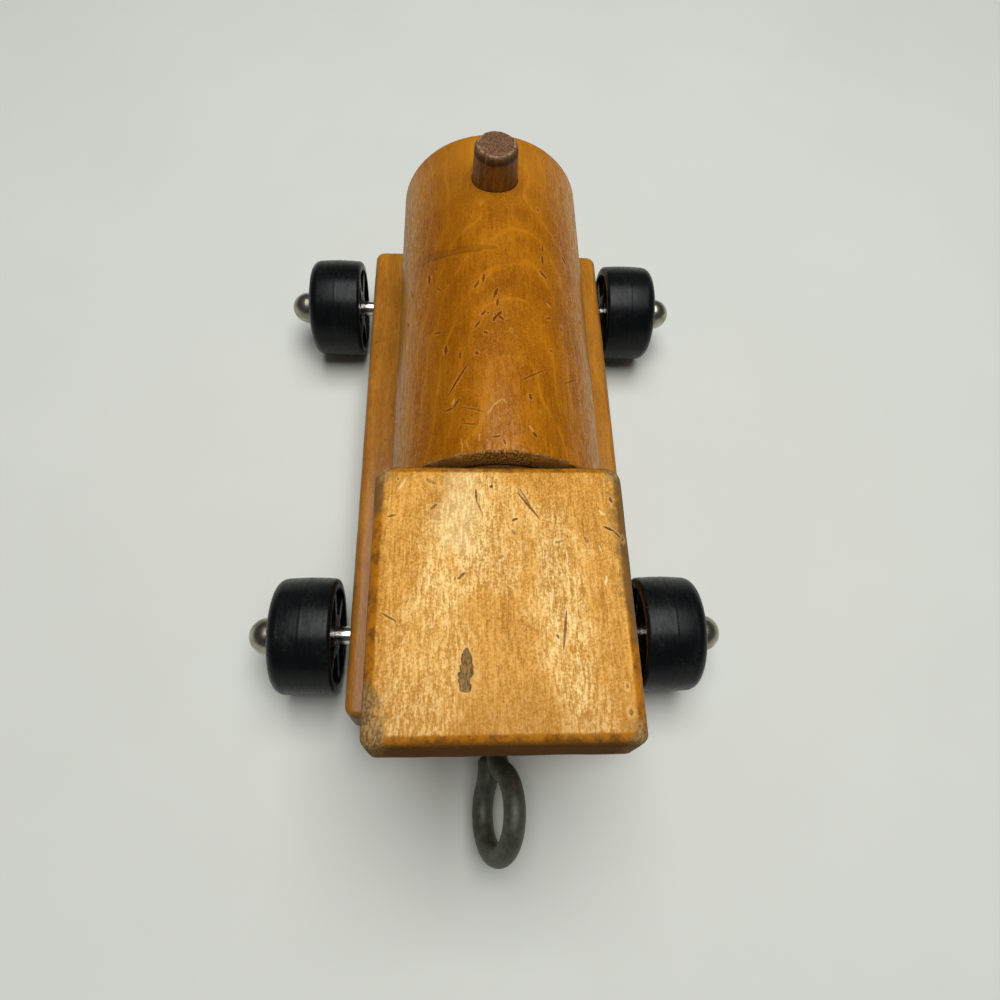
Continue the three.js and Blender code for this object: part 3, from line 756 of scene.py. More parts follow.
# A ragged band just under the rounded top, which gets painted shade
shade_below_rim = rise(abs(lumps * 0.8 + z), 3.4, 2.7) * rise(z, -2.1, -2.7)
scraped = rise(cloud(place, (0.9, 0.9, 0.12), 4.0, 0.7), 0.52, 0.68) * rise(x, 5.0, -6.0)
color = tint(
    wood["Color"],
    (rounded * 0.75, (0.065, 0.034, 0.013)),
    (top, top_color),
    (ridge * rise(lumps, 0.4, 0.62) * 0.8, (0.44, 0.3, 0.16)),
    # painted shade under the rounded top
    (shade_below_rim * 0.6, (0.04, 0.018, 0.007)),
    (scraped * 0.5, (0.4, 0.23, 0.08)),
)
crumbly = most(top, rounded)
relief = specks * crumbly * 2.0 + wood["Relief"]
finish_surface(shader, color, crumbly * 0.3 + 0.5, relief, 0.22 * MM)
dress(smokestack, dark_stain)
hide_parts("smokestack")
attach(smokestack, "chassis")

# Cab block
# A plain block of the same hardwood as the board, screwed down from below and hidden under the roof.
# Two blind holes in its top take the roof's dowels.

CAB_CORNER = 2.5 * MM
CAB_EDGE = 1 * MM
CAB_GRID = 2 * MM
CAB_RUB = {"width": 2 * MM, "depth": 0.2 * MM, "lumps": 160}
CAB_PITH = (-9, 0.03, -40)
CAB_SEED = 31.0
DOWEL_NODES = ("roof_dowel_left", "roof_dowel_right")
DOWEL_HOLE_SPARE = 0.3 * MM

cab_shape = eased_block("cab_body", CAB_CORNER, CAB_EDGE, CAB_GRID)
rub_edges(cab_shape, "cab_body", **CAB_RUB)
cab_block = new_piece("cab_block", cab_shape)


def dowel_holes(tools):
    """Adds the holes for both roof dowels to a set of drilling tools."""
    for node in DOWEL_NODES:
        half = middle_of(node)[1]
        foot = foot_of(node) - UP * DOWEL_HOLE_SPARE
        plain_hole(tools, foot, UP, half.x + DOWEL_HOLE_SPARE, 2 * half.z + 2 * DOWEL_HOLE_SPARE)


cab_tools = bmesh.new()
screw_holes(cab_tools, CAB_SCREWS)
dowel_holes(cab_tools)
drill(cab_block, cab_tools)
dress(cab_block, board_varnish("cab_varnish", "cab_body", CAB_PITH, CAB_SEED))
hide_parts("cab_body")
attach(cab_block, "chassis")

# Roof dowels
# Two short lengths of plain beech dowel, left bare. Each is glued half in the cab block and half in the roof,
# and the pair keeps the roof from turning.

pale_beech, tree, shader = new_material("pale_beech")
wood = use(
    WOOD_FIGURE, millimetres(tree, middle_of(DOWEL_NODES[0])[0], (math.pi / 2, 0, 0)), Pith=(18, 0.02, 4),
    Ring_Width=2.2, Figure=0.3, Lines=0.1, Fibre=0.5, Flecks=0.3, Speckle=0.2, Cloud=0.2, Pores=0.35,
    Pale=(0.66, 0.44, 0.23), Deep=(0.5, 0.3, 0.14), Pore_Color=(0.3, 0.16, 0.07),
)
finish_surface(shader, wood["Color"], wood["Relief"] * -0.1 + 0.75, wood["Relief"], 0.1 * MM)
for node in DOWEL_NODES:
    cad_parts[node].material_slots[0].material = pale_beech

# Roof
# A thick slab of a paler, golden board under the same varnish, with its edges rounded over. It is glued
# on the cab block over the dowels, and its corners are worn to bare wood.

ROOF_CORNER = 4.5 * MM
ROOF_EDGE = 2.8 * MM
ROOF_LOWER_EDGE = 1.2 * MM
ROOF_REAR_CORNER = 2.8 * MM
ROOF_GRID = 0.9 * MM
ROOF_RUB = {"width": 4 * MM, "depth": 0.4 * MM, "lumps": 110}
SCAR_DEPTH = 0.45 * MM
SCAR_CUTS = 2
TOP_MARGIN = 0.1 * MM

# Places on the model, in millimetres
ROOF_SCAR = [
    (-8.6, -73.0, -8.4, -80.8, 1.9, 1.0), (-9.2, -79.0, -8.8, -81.6, 2.0, 1.0),
    (-9.0, -74.4, -9.3, -79.0, 1.3, 1.0),
]
ROOF_MARKS = [
    (-10.7, -53.9, -9.1, -52.4, 0.6, 0.8), (0.2, -48.0, 1.1, -47.6, 0.6, 0.5),
    (0.8, -49.3, 1.4, -50.0, 0.45, 0.45), (4.2, -37.0, 5.1, -36.6, 0.6, 0.9),
    (4.0, -40.1, 4.5, -41.1, 0.6, 0.6), (-1.7, -26.8, -1.4, -26.5, 0.6, 0.9),
    (5.7, -28.6, 11.3, -36.3, 0.55, 0.85), (6.4, -27.4, 9.4, -33.3, 0.4, 0.7),
    (-5.9, -27.6, -5.7, -31.4, 0.5, 0.85), (-5.8, -30.8, -4.4, -34.6, 0.4, 0.65),
    (29.0, -38.9, 31.7, -40.2, 0.55, 0.95), (31.2, -39.8, 34.0, -43.0, 0.4, 0.7),
    (31.5, -30.2, 31.8, -31.4, 0.6, 0.8), (34.1, -41.8, 34.0, -43.4, 0.7, 0.7),
    (23.7, -42.4, 24.1, -43.5, 0.7, 0.4), (17.2, -62.7, 15.8, -72.9, 0.5, 0.8),
    (14.4, -69.3, 14.7, -69.8, 0.45, 0.8), (-30.2, -63.0, -26.3, -65.3, 0.4, 0.75),
    (-29.8, -36.0, -27.7, -35.5, 0.5, 0.7), (-19.3, -24.6, -17.2, -25.8, 0.9, 0.45),
    (-18.0, -33.6, -16.7, -32.3, 0.65, 0.65), (15.4, -43.7, 17.5, -43.1, 0.5, 0.6),
]
# Raised marks, whose pale colour is a painted highlight
ROOF_RAISED_HIGHLIGHTS = [
    (-27.3, -28.1, -25.0, -23.9, 0.5, 0.7), (28.2, -34.2, 29.3, -35.4, 0.55, 0.8),
    (28.5, -53.4, 28.0, -55.8, 0.6, 0.8), (27.1, -44.4, 27.8, -46.5, 0.4, 0.6),
]
# Patches where the varnish shines more; they are also painted into the colour as sheen
ROOF_GLOSS_AND_SHEEN = [
    (-3.5, -23.0, -15.3, -59.7, 13.0, 1.0), (-15.3, -52.0, -18.6, -90.0, 13.0, 0.55),
    (3.3, -29.0, 21.8, -45.9, 8.0, 0.6), (14.5, -46.0, 18.0, -84.0, 11.0, 0.9),
    (0.6, -32.0, 1.7, -54.0, 10.0, 0.55), (18.5, -80.0, 23.4, -95.0, 10.0, 0.45),
    (-23.2, -72.0, -25.4, -93.0, 8.0, 0.45),
]
# A spot of painted sheen
ROOF_PAINTED_SHEEN = [(-9.5, -24.0, -11.0, -42.0, 9.0, 1.0)]
ROOF_WORN = [(-34.0, -83.0, -31.0, -98.0, 6.0, 1.0)]
ROOF_AMBER = [(-34.6, -14.0, -34.6, -104.0, 6.4, 0.7)]
ROOF_GREY = [
    (36.0, -14.0, 36.0, -74.0, 6.2, 0.8), (-35.0, -17.0, -33.0, -34.0, 4.4, 0.7),
]

roof_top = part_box("cab_roof")[1].z
roof_centre, roof_half = middle_of("cab_roof")
roof_shape = eased_block("cab_roof", ROOF_CORNER, ROOF_EDGE, ROOF_GRID, ROOF_LOWER_EDGE, ROOF_REAR_CORNER)
rub_edges(roof_shape, "cab_roof", **ROOF_RUB)

# The first marks of the scar are cut into the top
for vert in roof_shape.verts:
    if vert.co.z > roof_top - TOP_MARGIN:
        deepest = 0.0
        for *ends, width, _ in ROOF_SCAR[:SCAR_CUTS]:
            start, end = Vector(ends[:2]) * MM, Vector(ends[2:]) * MM
            reach, from_start = end - start, vert.co.xy - start
            share = max(0.0, min(1.0, from_start.dot(reach) / reach.length_squared))
            away = (from_start - reach * share).length / (width * MM)
            deepest = max(deepest, 1.0 - away ** 2)
        vert.co.z -= SCAR_DEPTH * deepest
roof = new_piece("cab_roof_slab", roof_shape)
roof_tools = bmesh.new()
dowel_holes(roof_tools)
drill(roof, roof_tools)

roof_varnish, tree, shader = new_material("roof_varnish", Coat_Roughness=0.2, Specular_IOR_Level=0.03)
place = millimetres(tree, roof_centre)
top_place = millimetres(tree, (0, 0, roof_top))
wood = use(
    WOOD_FIGURE, place, Pith=(-6, 0.05, -70), Ring_Width=3.4, Figure=0.1, Lines=0.15, Fibre=0.45, Flecks=0.55,
    Speckle=0.8, Cloud=0.4, Pores=0.4, Pale=(0.86, 0.44, 0.085), Deep=(0.46, 0.19, 0.02),
    Pore_Color=(0.24, 0.09, 0.015),
)
half_size = tuple(roof_half / MM)
round_over = use(EDGE_WEAR, place, Half_Size=half_size, Width=3.1, Ragged=0.3, Lumps=0.2, Full=0.75)["Mask"]
bare = use(EDGE_WEAR, place, Half_Size=half_size, Width=2.6, Ragged=2.0, Lumps=0.28)["Mask"]
dents = use(KNOCKS, place, Spacing=6.0, Size=0.11, Share=0.4, Stretch=(1, 0.6, 1))
scar, scar_rim_highlight = marks(top_place, ROOF_SCAR, 0.6)
scratches, scratch_rim_highlights = marks(top_place, ROOF_MARKS)
raised_with_highlight = marks(top_place, ROOF_RAISED_HIGHLIGHTS)[0]
amber = marks(top_place, ROOF_AMBER, 0.4)[0]
gloss_and_painted_sheen = marks(top_place, ROOF_GLOSS_AND_SHEEN, 0.12)[0]
bright = marks(top_place, ROOF_PAINTED_SHEEN, 0.12)[0]
inside_x, inside_y = parts_of(half_size - abs(place))[:2]
corner = rise(cloud(place, 0.24, 4.0, 0.65) * 9.0 + most(inside_x, inside_y), 11.5, 7.0)
corner = most(corner, marks(top_place, ROOF_WORN, 0.35)[0])
top_y, below_top = parts_of(top_place)[1:]
grey = marks(top_place, ROOF_GREY, 0.4)[0] * rise(below_top, -8.0, -3.0)
glints = wood["Sparkle"] * wood["Sparkle"]
worn_specks = rise(cloud(place, (1.6, 0.7, 1.6), 3.0, 0.7), 0.35, 0.65)
worn_color = tint((0.15, 0.08, 0.026), (worn_specks, (0.4, 0.26, 0.11)))
edge_patches = rise(cloud(place, 0.22, 5.0, 0.72), 0.36, 0.6)
edge_color = tint((0.13, 0.038, 0.001), (edge_patches, (0.43, 0.145, 0.002)))
scar_streaks = rise(cloud(top_place, (2.4, 0.6, 2.4), 3.0, 0.7), 0.38, 0.62)
scar_color = tint(
    (0.14, 0.08, 0.028),
    (scar_streaks, (0.36, 0.21, 0.075)),
    (rise(scar, 0.6, 0.2), (0.07, 0.036, 0.012)),
)
color = tint(
    wood["Color"],
    # painted shade: darker towards the rear
    (rise(top_y, -72.0, -94.0) * 0.42, (0.42, 0.18, 0.03)),
    # painted sheen: golden-white in the shiny patches, broken up by the grain
    (gloss_and_painted_sheen * (glints * 0.72 + 0.06), (0.97, 0.69, 0.2)),
    # painted sheen: one brighter yellowish-white spot
    (bright * 0.3, (0.98, 0.78, 0.36)),
    # painted highlight on the rims of the dents
    (dents["Rim"] * 0.35, (0.95, 0.6, 0.2)),
    (dents["Mask"] * 0.6, (0.2, 0.085, 0.02)),
    (amber * 0.75, edge_color),
    (round_over * 0.85, edge_color),
    (grey, (0.15, 0.088, 0.032)),
    (wood["End"], tint(wood["Color"], (0.9, (0.085, 0.026, 0.002)))),
    (bare * 0.08, worn_color),
    (corner * 0.9, worn_color),
    # painted highlight on the rims of the scratches
    (scratch_rim_highlights * 0.4, (0.95, 0.62, 0.22)),
    (scratches, (0.14, 0.058, 0.012)),
    # painted highlight on the raised marks
    (raised_with_highlight, (0.98, 0.7, 0.3)),
    # painted highlight on the scar's rim
    (scar_rim_highlight * 0.35, (0.95, 0.6, 0.22)),
    (rise(scar, 0.05, 0.3), scar_color),
)
rough = wood["Relief"] * -0.16 + 0.55 + most(corner, scar) * 0.3 + wood["End"] * 0.35
relief = wood["Relief"] * 0.9 - (dents["Mask"] + scratches - raised_with_highlight)

# The varnish shines in broad patches, broken up by the grain, and is gone where the wood is worn
gloss = (gloss_and_painted_sheen * 0.5 + 0.15) * glints + gloss_and_painted_sheen * 0.04
for dull in (corner, scar, scratches, wood["End"], round_over, grey, amber):
    gloss = gloss * (1.0 - dull)
finish_surface(shader, color, rough, relief, 0.16 * MM, Coat_Weight=gloss)
dress(roof, roof_varnish)
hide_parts("cab_roof")
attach(roof, "chassis")

# Wood screws
# Four slotted countersunk screws of zinc-plated steel, driven up through the board into the boiler and
# the cab. Only their heads show, from below.

SCREW_NODES = BOILER_SCREWS + CAB_SCREWS
SCREW_SIDES = 40
SCREW_HEAD = [(0, 0), (3.7, 0), (4.1, 0.12), (4.2, 0.35), (2.1, 2.6), (2.1, 13)]
THREAD_START = 13.4
THREAD_RADIUS = 2.1
THREAD_TURNS = 9
THREAD_PITCH = 2.2
THREAD_DEPTH = 0.55
SCREW_POINT = [(1.5, 34.4), (0, 37.8)]
SLOT_SIZE = Vector((9.4, 1.1, 2.2))
SCREW_SEED = 4

screw_profile = list(SCREW_HEAD)
for turn in range(THREAD_TURNS):
    foot = THREAD_START + THREAD_PITCH * turn
    screw_profile += [(THREAD_RADIUS - THREAD_DEPTH, foot), (THREAD_RADIUS, foot + THREAD_PITCH / 2)]
screw_shape = turned(bmesh.new(), in_metres(screw_profile + SCREW_POINT), SCREW_SIDES)
wood_screw = new_piece("wood_screw", screw_shape)
slot_tool = bmesh.new()
bmesh.ops.create_cube(slot_tool, size=1, matrix=Matrix.Diagonal((*(SLOT_SIZE * MM), 1)))
drill(wood_screw, slot_tool)

zinc_plate, tree, shader = new_material("zinc_plate", Metallic=1.0)
place = millimetres(tree)
spangle = lay(tree, "ShaderNodeTexVoronoi", {"Vector": place, "Scale": 1.4})["Color"]
dull = cloud(place, 0.9, 4.0, 0.6)
color = tint(
    (0.42, 0.42, 0.39),
    (lay(tree, "ShaderNodeSeparateColor", {0: spangle})[0], (0.56, 0.56, 0.52)),
    (rise(dull, 0.52, 0.72), (0.22, 0.2, 0.16)),
)
finish_surface(shader, color, dull * 0.35 + 0.2, dull, 0.06 * MM)


def shape_tree(name, **takes):
    """A new Geometry Nodes tree from geometry to geometry, with more named inputs: kinds and defaults."""
    tree = bpy.data.node_groups.new(name, "GeometryNodeTree")
    tree.interface.new_socket("Geometry", in_out="INPUT", socket_type="NodeSocketGeometry")
    for socket_name, (kind, default) in {**takes, "Finish": ("Material", None)}.items():
        socket_name = socket_name.replace("_", " ")
        made = tree.interface.new_socket(socket_name, in_out="INPUT", socket_type=f"NodeSocket{kind}")
        if default is not None:
            made.default_value = default
    tree.interface.new_socket("Geometry", in_out="OUTPUT", socket_type="NodeSocketGeometry")
    return tree, lay(tree, "NodeGroupInput")


def repeated(points, shape, *turn):
    """A shape at every point, turned by angles about X, Y and Z, and made into plain mesh."""
    rotation = lay(points.tree, "FunctionNodeEulerToRotation", {0: vector_of(*turn)})[0]
    sockets = {"Points": points, "Instance": shape, "Rotation": rotation}
    placed = lay(points.tree, "GeometryNodeInstanceOnPoints", sockets)[0]
    return lay(points.tree, "GeometryNodeRealizeInstances", {0: placed})[0]


def complete(given, mesh):
    """Ends a Geometry Nodes tree with the material of what it makes, and gives the tree."""
    done = lay(mesh.tree, "GeometryNodeSetMaterial", {"Geometry": mesh, "Material": given["Finish"]})[0]
    lay(mesh.tree, "NodeGroupOutput", {0: done})
    return mesh.tree


def set_screws():
    """A screw at every point, each turned at random where it came to rest."""
    tree, given = shape_tree("set_screws", Screw=("Object", None), Seed=("Int", SCREW_SEED))
    one = lay(tree, "GeometryNodeObjectInfo", {"Object": given["Screw"]})["Geometry"]
    turn = lay(tree, "FunctionNodeRandomValue", {3: math.pi, "Seed": given["Seed"]})[1]
    return complete(given, repeated(given["Geometry"], one, 0, 0, turn))


def grow(piece, tree, **inputs):
    """Runs a Geometry Nodes tree on a piece and gives the plain mesh that comes out."""
    step = piece.modifiers.new(tree.name, "NODES")
    step.node_group = tree
    for item in tree.interface.items_tree:
        name = item.name.replace(" ", "_")
        if item.in_out == "INPUT" and name in inputs:
            step[item.identifier] = inputs[name]
    return baked(piece)


head_points = bmesh.new()
for node in SCREW_NODES:
    head_points.verts.new(foot_of(node))
screws = new_piece("wood_screws", head_points)
screws.data = grow(screws, set_screws(), Screw=wood_screw, Finish=zinc_plate)
bpy.data.objects.remove(wood_screw)
dress(screws, zinc_plate)
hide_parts(*SCREW_NODES)
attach(screws, "chassis")

# Screw eye
# One length of thick iron wire with a thread on its shank, screwed into the rear end of the board. The
# wire is bent round into a ring, and its free end comes back under the neck.

EYE_WIRE = 3.4 * MM
EYE_RING = 12.5 * MM
EYE_SHANK = 20.4 * MM
EYE_NECK_BEND = 7 * MM
EYE_TAIL_BEND = 9 * MM
EYE_TAIL_REACH = 17.5 * MM
EYE_TAIL_DROP = 7.15 * MM
EYE_TURN = math.radians(69)
EYE_END_LENGTH = 1.5 * MM
EYE_END_SHARE = 0.72
EYE_SIDES = 32
EYE_SHANK_STEPS = 40
EYE_NECK_STEPS = 12
EYE_RING_STEPS = 120
EYE_TAIL_STEPS = 16
EYE_TIP_STEPS = 5

# The path of the wire in the ring's plane, ahead and up from the middle of the ring
ring_centre = Vector((eye_x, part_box("screw_eye")[0].y + EYE_RING + EYE_WIRE, eye_z))
shank_end = board_low.y + EYE_SHANK - ring_centre.y
bend_ahead = math.sqrt(EYE_RING ** 2 + 2 * EYE_RING * EYE_NECK_BEND)
meeting = math.degrees(math.atan2(EYE_NECK_BEND, bend_ahead))
tail_turn = EYE_RING + EYE_TAIL_BEND
leaving = math.degrees(math.asin((EYE_TAIL_BEND + EYE_TAIL_DROP) / tail_turn))
tail_ahead = tail_turn * math.cos(math.radians(leaving))
tail_middle = -EYE_TAIL_BEND - EYE_TAIL_DROP
eye_path = [(ahead, 0) for ahead in evenly(shank_end, bend_ahead, EYE_SHANK_STEPS)[:-1]]
eye_path += arc_points(bend_ahead, EYE_NECK_BEND, EYE_NECK_BEND, -90, meeting - 180, EYE_NECK_STEPS)[:-1]
eye_path += arc_points(0, 0, EYE_RING, meeting, 360 - leaving, EYE_RING_STEPS)[:-1]
eye_path += arc_points(tail_ahead, tail_middle, EYE_TAIL_BEND, 180 - leaving, 90, EYE_TAIL_STEPS)[:-1]
eye_path += [(ahead, -EYE_TAIL_DROP) for ahead in evenly(tail_ahead, EYE_TAIL_REACH, EYE_TIP_STEPS)]

right_up = Vector((math.cos(EYE_TURN), 0, math.sin(EYE_TURN)))
eye_curve = bpy.data.curves.new("screw_eye_path", "CURVE")
eye_curve.dimensions = "3D"
eye_line = eye_curve.splines.new("POLY")
eye_line.points.add(len(eye_path) - 1)
for point, (ahead, up) in zip(eye_line.points, eye_path):
    point.co = (*(ring_centre + AHEAD * ahead + right_up * up), 1)
eye_thread = show("screw_eye_path", eye_curve)


def bend_wire():
    """A round wire along a path, with its two ends drawn in a little."""
    tree, given = shape_tree(
        "bend_wire",
        Wire_Radius=("Float", EYE_WIRE),
        Sides=("Int", EYE_SIDES),
        End_Length=("Float", EYE_END_LENGTH),
    )
    path = given["Geometry"]
    from_start = lay(tree, "GeometryNodeSplineParameter")["Length"]
    nearest = reckon("MINIMUM", from_start, lay(tree, "GeometryNodeCurveLength", {0: path})[0] - from_start)
    share = rise(nearest, 0.0, given["End Length"]) * (1.0 - EYE_END_SHARE) + EYE_END_SHARE
    sockets = {"Resolution": given["Sides"], "Radius": given["Wire Radius"]}
    profile = lay(tree, "GeometryNodeCurvePrimitiveCircle", sockets)[0]
    sized = lay(tree, "GeometryNodeSetCurveRadius", {"Curve": path, "Radius": 1.0})[0]
    sockets = {"Curve": sized, "Profile Curve": profile, "Scale": share, "Fill Caps": True}
    tube = lay(tree, "GeometryNodeCurveToMesh", sockets)[0]
    return complete(given, lay(tree, "GeometryNodeRealizeInstances", {0: tube})[0])


grey_iron, tree, shader = new_material("grey_iron", Metallic=0.6)
place = millimetres(tree, ring_centre)
mottle = cloud(place, 0.35, 4.0, 0.65)
grit = cloud(place, 2.2, 3.0, 0.7)
color = tint(
    (0.075, 0.078, 0.058),
    (rise(mottle, 0.35, 0.65), (0.115, 0.118, 0.09)),
    (rise(grit, 0.58, 0.75) * 0.5, (0.03, 0.028, 0.018)),
)
finish_surface(shader, color, mottle * 0.2 + 0.45, grit, 0.05 * MM)
eye_mesh = grow(
    eye_thread,
    bend_wire(),
    Wire_Radius=EYE_WIRE,
    Sides=EYE_SIDES,
    End_Length=EYE_END_LENGTH,
    Finish=grey_iron,
)
bpy.data.objects.remove(eye_thread)
screw_eye = show("screw_eye_wire", eye_mesh)
dress(screw_eye, grey_iron)
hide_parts("screw_eye")
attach(screw_eye, "chassis")

# Axle rods
# Two rods of bright drawn steel, cut to length and chamfered. They turn loosely in the board's bores, and
# a few grooves near each end give the caps their grip.

AXLE_SIDES = 64
AXLE_CHAMFER = 0.5 * MM
GRIP_LINES = 3
GRIP_START = 1.2 * MM
GRIP_PITCH = 0.7 * MM
GRIP_WIDTH = 0.4 * MM
GRIP_DEPTH = 0.15 * MM
GRIP_END = 3.5 * MM

bright_steel, tree, shader = new_material("bright_steel", Metallic=1.0)
place = millimetres(tree)
drawn = cloud(place, (0.12, 3.0, 3.0), 3.0, 0.6)
stain = cloud(place, 0.18, 4.0, 0.6)
color = tint(
    (0.68, 0.67, 0.64),
    (drawn, (0.82, 0.81, 0.77)),
    (rise(stain, 0.54, 0.74) * 0.4, (0.3, 0.26, 0.2)),
)
finish_surface(shader, color, stain * 0.1 + 0.14, drawn, 0.004 * MM)

for end in ("rear", "front"):
    middle, half = middle_of(f"{end}_axle")
    radius = half.z
    rod_profile = [(0, 0), (radius - AXLE_CHAMFER, 0), (radius, AXLE_CHAMFER)]
    for line in range(GRIP_LINES):
        foot = GRIP_START + GRIP_PITCH * line
        bottom = (radius - GRIP_DEPTH, foot + GRIP_WIDTH / 2)
        rod_profile += [(radius, foot), bottom, (radius, foot + GRIP_WIDTH)]
    rod_profile.append((radius, GRIP_END))
    rod_profile += [(rod_radius, 2 * half.x - height) for rod_radius, height in reversed(rod_profile)]
    rod_start = along(ACROSS, middle - ACROSS * half.x)
    rod_shape = turned(bmesh.new(), rod_profile, AXLE_SIDES, rod_start)
    rod = new_piece(f"{end}_axle_rod", rod_shape)
    dress(rod, bright_steel)
    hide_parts(f"{end}_axle")
    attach(rod, f"{end}_axle")

# Wheels
# Four black moulded wheels, each in one piece: a slightly crowned tread with a fine mould line, a rim with a
# round outer shoulder, a dished outer face, and six ribs from hub to rim in the hollow inner side.

WHEEL_SIDES = 144
WHEEL_WIDTH = 20.8
TREAD_RADIUS = 20.0
TREAD_CROWN = 0.3
TREAD_END = 16.8
TREAD_STEPS = 50
INNER_SHOULDER = 1.4
OUTER_SHOULDER = 4.0
MOULD_LINE = 0.06
MOULD_LINE_PLACE = 0.54
MOULD_LINE_SHARPNESS = 45
RIM_FACE = 13.9
DISH_RADIUS = 13.2
DISH_FLOOR = 12.4
DISH_DEPTH = 1.6
DISH_CORNER = 0.4
BOSS_FOOT = 9.5
BOSS_RADIUS = 8.5
BOSS_FACE = 7.9
HUB_RADIUS = 7.4
HUB_CORNER = 0.5
AXLE_HOLE = 3.375
RIM_INSIDE = 16.0
RIM_BORE = 16.6
RIM_CHAMFER = 0.25
HOLLOW_DEPTH = 12.6
HOLLOW_CORNER = 0.8
SMALL_CORNER = 0.3
RIBS = 6
RIB_FACE = 0.6
RIB_THICKNESS = 3.0
RIB_OVERLAP = 0.8
RIB_ROOT = 0.2
FRONT_TURN = 24.0
SIDE_TURN = 11
SIDE_SEED = 9.0


def wheel_profile():
    """The wheel's outline from its hub's inner end, round the outside and back through the axle hole."""
    edge = TREAD_RADIUS - TREAD_CROWN
    hollow = HOLLOW_DEPTH - HOLLOW_CORNER
    dish, boss = WHEEL_WIDTH - DISH_DEPTH, WHEEL_WIDTH - DISH_CORNER
    points = arc_points(HUB_RADIUS - HUB_CORNER, RIB_FACE + HUB_CORNER, HUB_CORNER, -90, 0, 4)
    hub_foot = arc_points(HUB_RADIUS + HOLLOW_CORNER, hollow, -HOLLOW_CORNER, 0, -90, 3)
    rim_foot = arc_points(RIM_INSIDE - HOLLOW_CORNER, hollow, HOLLOW_CORNER, 90, 0, 3)
    points += [(HUB_RADIUS, hollow), *hub_foot, *rim_foot, (RIM_INSIDE, RIB_FACE)]
    points += [(RIM_BORE, RIB_FACE), (RIM_BORE, RIM_CHAMFER), (RIM_BORE + RIM_CHAMFER, 0)]
    points += arc_points(edge - INNER_SHOULDER, INNER_SHOULDER, INNER_SHOULDER, -90, -8, 8)
    for share in evenly(0, 1, TREAD_STEPS):
        height = INNER_SHOULDER + (TREAD_END - INNER_SHOULDER) * share
        line = MOULD_LINE * math.exp(-((share - MOULD_LINE_PLACE) * MOULD_LINE_SHARPNESS) ** 2)
        points.append((TREAD_RADIUS - TREAD_CROWN * (2 * share - 1) ** 2 + line, height))
    points += arc_points(edge - OUTER_SHOULDER, TREAD_END, OUTER_SHOULDER, 6, 90, 12)
    points += arc_points(RIM_FACE, WHEEL_WIDTH - SMALL_CORNER, SMALL_CORNER, 90, 180, 3)
    points += [(DISH_RADIUS, dish), *arc_points(DISH_FLOOR, dish, DISH_CORNER, 0, -90, 3)]
    points += [*arc_points(BOSS_FOOT, dish, -DISH_CORNER, 90, 0, 3), (BOSS_RADIUS, boss)]
    points += arc_points(BOSS_FACE, boss, DISH_CORNER, 0, 90, 3)
    points += [(AXLE_HOLE + SMALL_CORNER, WHEEL_WIDTH), (AXLE_HOLE, WHEEL_WIDTH - SMALL_CORNER)]
    points += [(AXLE_HOLE, RIB_FACE + SMALL_CORNER), (AXLE_HOLE + SMALL_CORNER, RIB_FACE)]
    return in_metres(points + points[:1])


def mould_ribs():
    """Joins evenly spaced ribs round the hub to the turned body of a wheel."""
    tree, given = shape_tree(
        "mould_ribs",
        Ribs=("Int", RIBS),
        Rib_Size=("Vector", (0.01, 0.003, 0.01)),
        Rib_Centre=("Vector", (0.01, 0, 0.01)),
    )
    bar = lay(tree, "GeometryNodeMeshCube", {"Size": given["Rib Size"]})[0]
    bar = lay(tree, "GeometryNodeTransform", {"Geometry": bar, "Translation": given["Rib Centre"]})[0]
    hubs = lay(tree, "GeometryNodeMeshLine", {"Count": given["Ribs"], "Offset": (0, 0, 0)})[0]
    turn = lay(tree, "GeometryNodeInputIndex")[0] * math.tau / given["Ribs"]
    sockets = {"Mesh 2": [given["Geometry"], repeated(hubs, bar, 0, 0, turn)]}
    whole = lay(tree, "GeometryNodeMeshBoolean", operation="UNION", solver="EXACT", sockets=sockets)[0]
    return complete(given, whole)


MOULD_RIBS = mould_ribs()


def black_rubber(name, centre, seed):
    """Hard black rubber, rubbed grey on the tread and dusty in its hollows."""
    made, tree, shader = new_material(name, Specular_IOR_Level=0.16)
    place = millimetres(tree, centre)
    shifted = place + (seed, 2 * seed, -seed)
    from_axle = measure("LENGTH", place * (0, 1, 1))
    smear = cloud(shifted, (0.12, 0.07, 0.07), 4.0, 0.6)
    grain = cloud(shifted, 1.1, 3.0, 0.65)
    dust = cloud(shifted, 0.3, 4.0, 0.7)
    specks = cloud(shifted, 2.0, 2.0, 0.6)
    streaks = cloud(shifted, (1.0, 0.22, 0.22), 4.0, 0.7)
    scuff = rise(grain, 0.45, 0.7) * rise(smear, 0.5, 0.68) * rise(from_axle, 18.4, 19.6)
    color = tint(
        (0.0022, 0.0032, 0.0036),
        (smear, (0.0045, 0.0058, 0.0062)),
        (scuff * 0.35, (0.05, 0.05, 0.047)),
        (rise(dust, 0.5, 0.78) * rise(from_axle, 17.0, 9.0) * 0.3, (0.07, 0.064, 0.055)),
        (rise(specks, 0.72, 0.77) * 0.4, (0.13, 0.125, 0.11)),
    )
    rough = rise(streaks, 0.38, 0.62) * 0.14 + 0.24 + scuff * 0.15
    finish_surface(shader, color, rough, grain * 0.5 + specks * 0.3, 0.035 * MM)
    return made


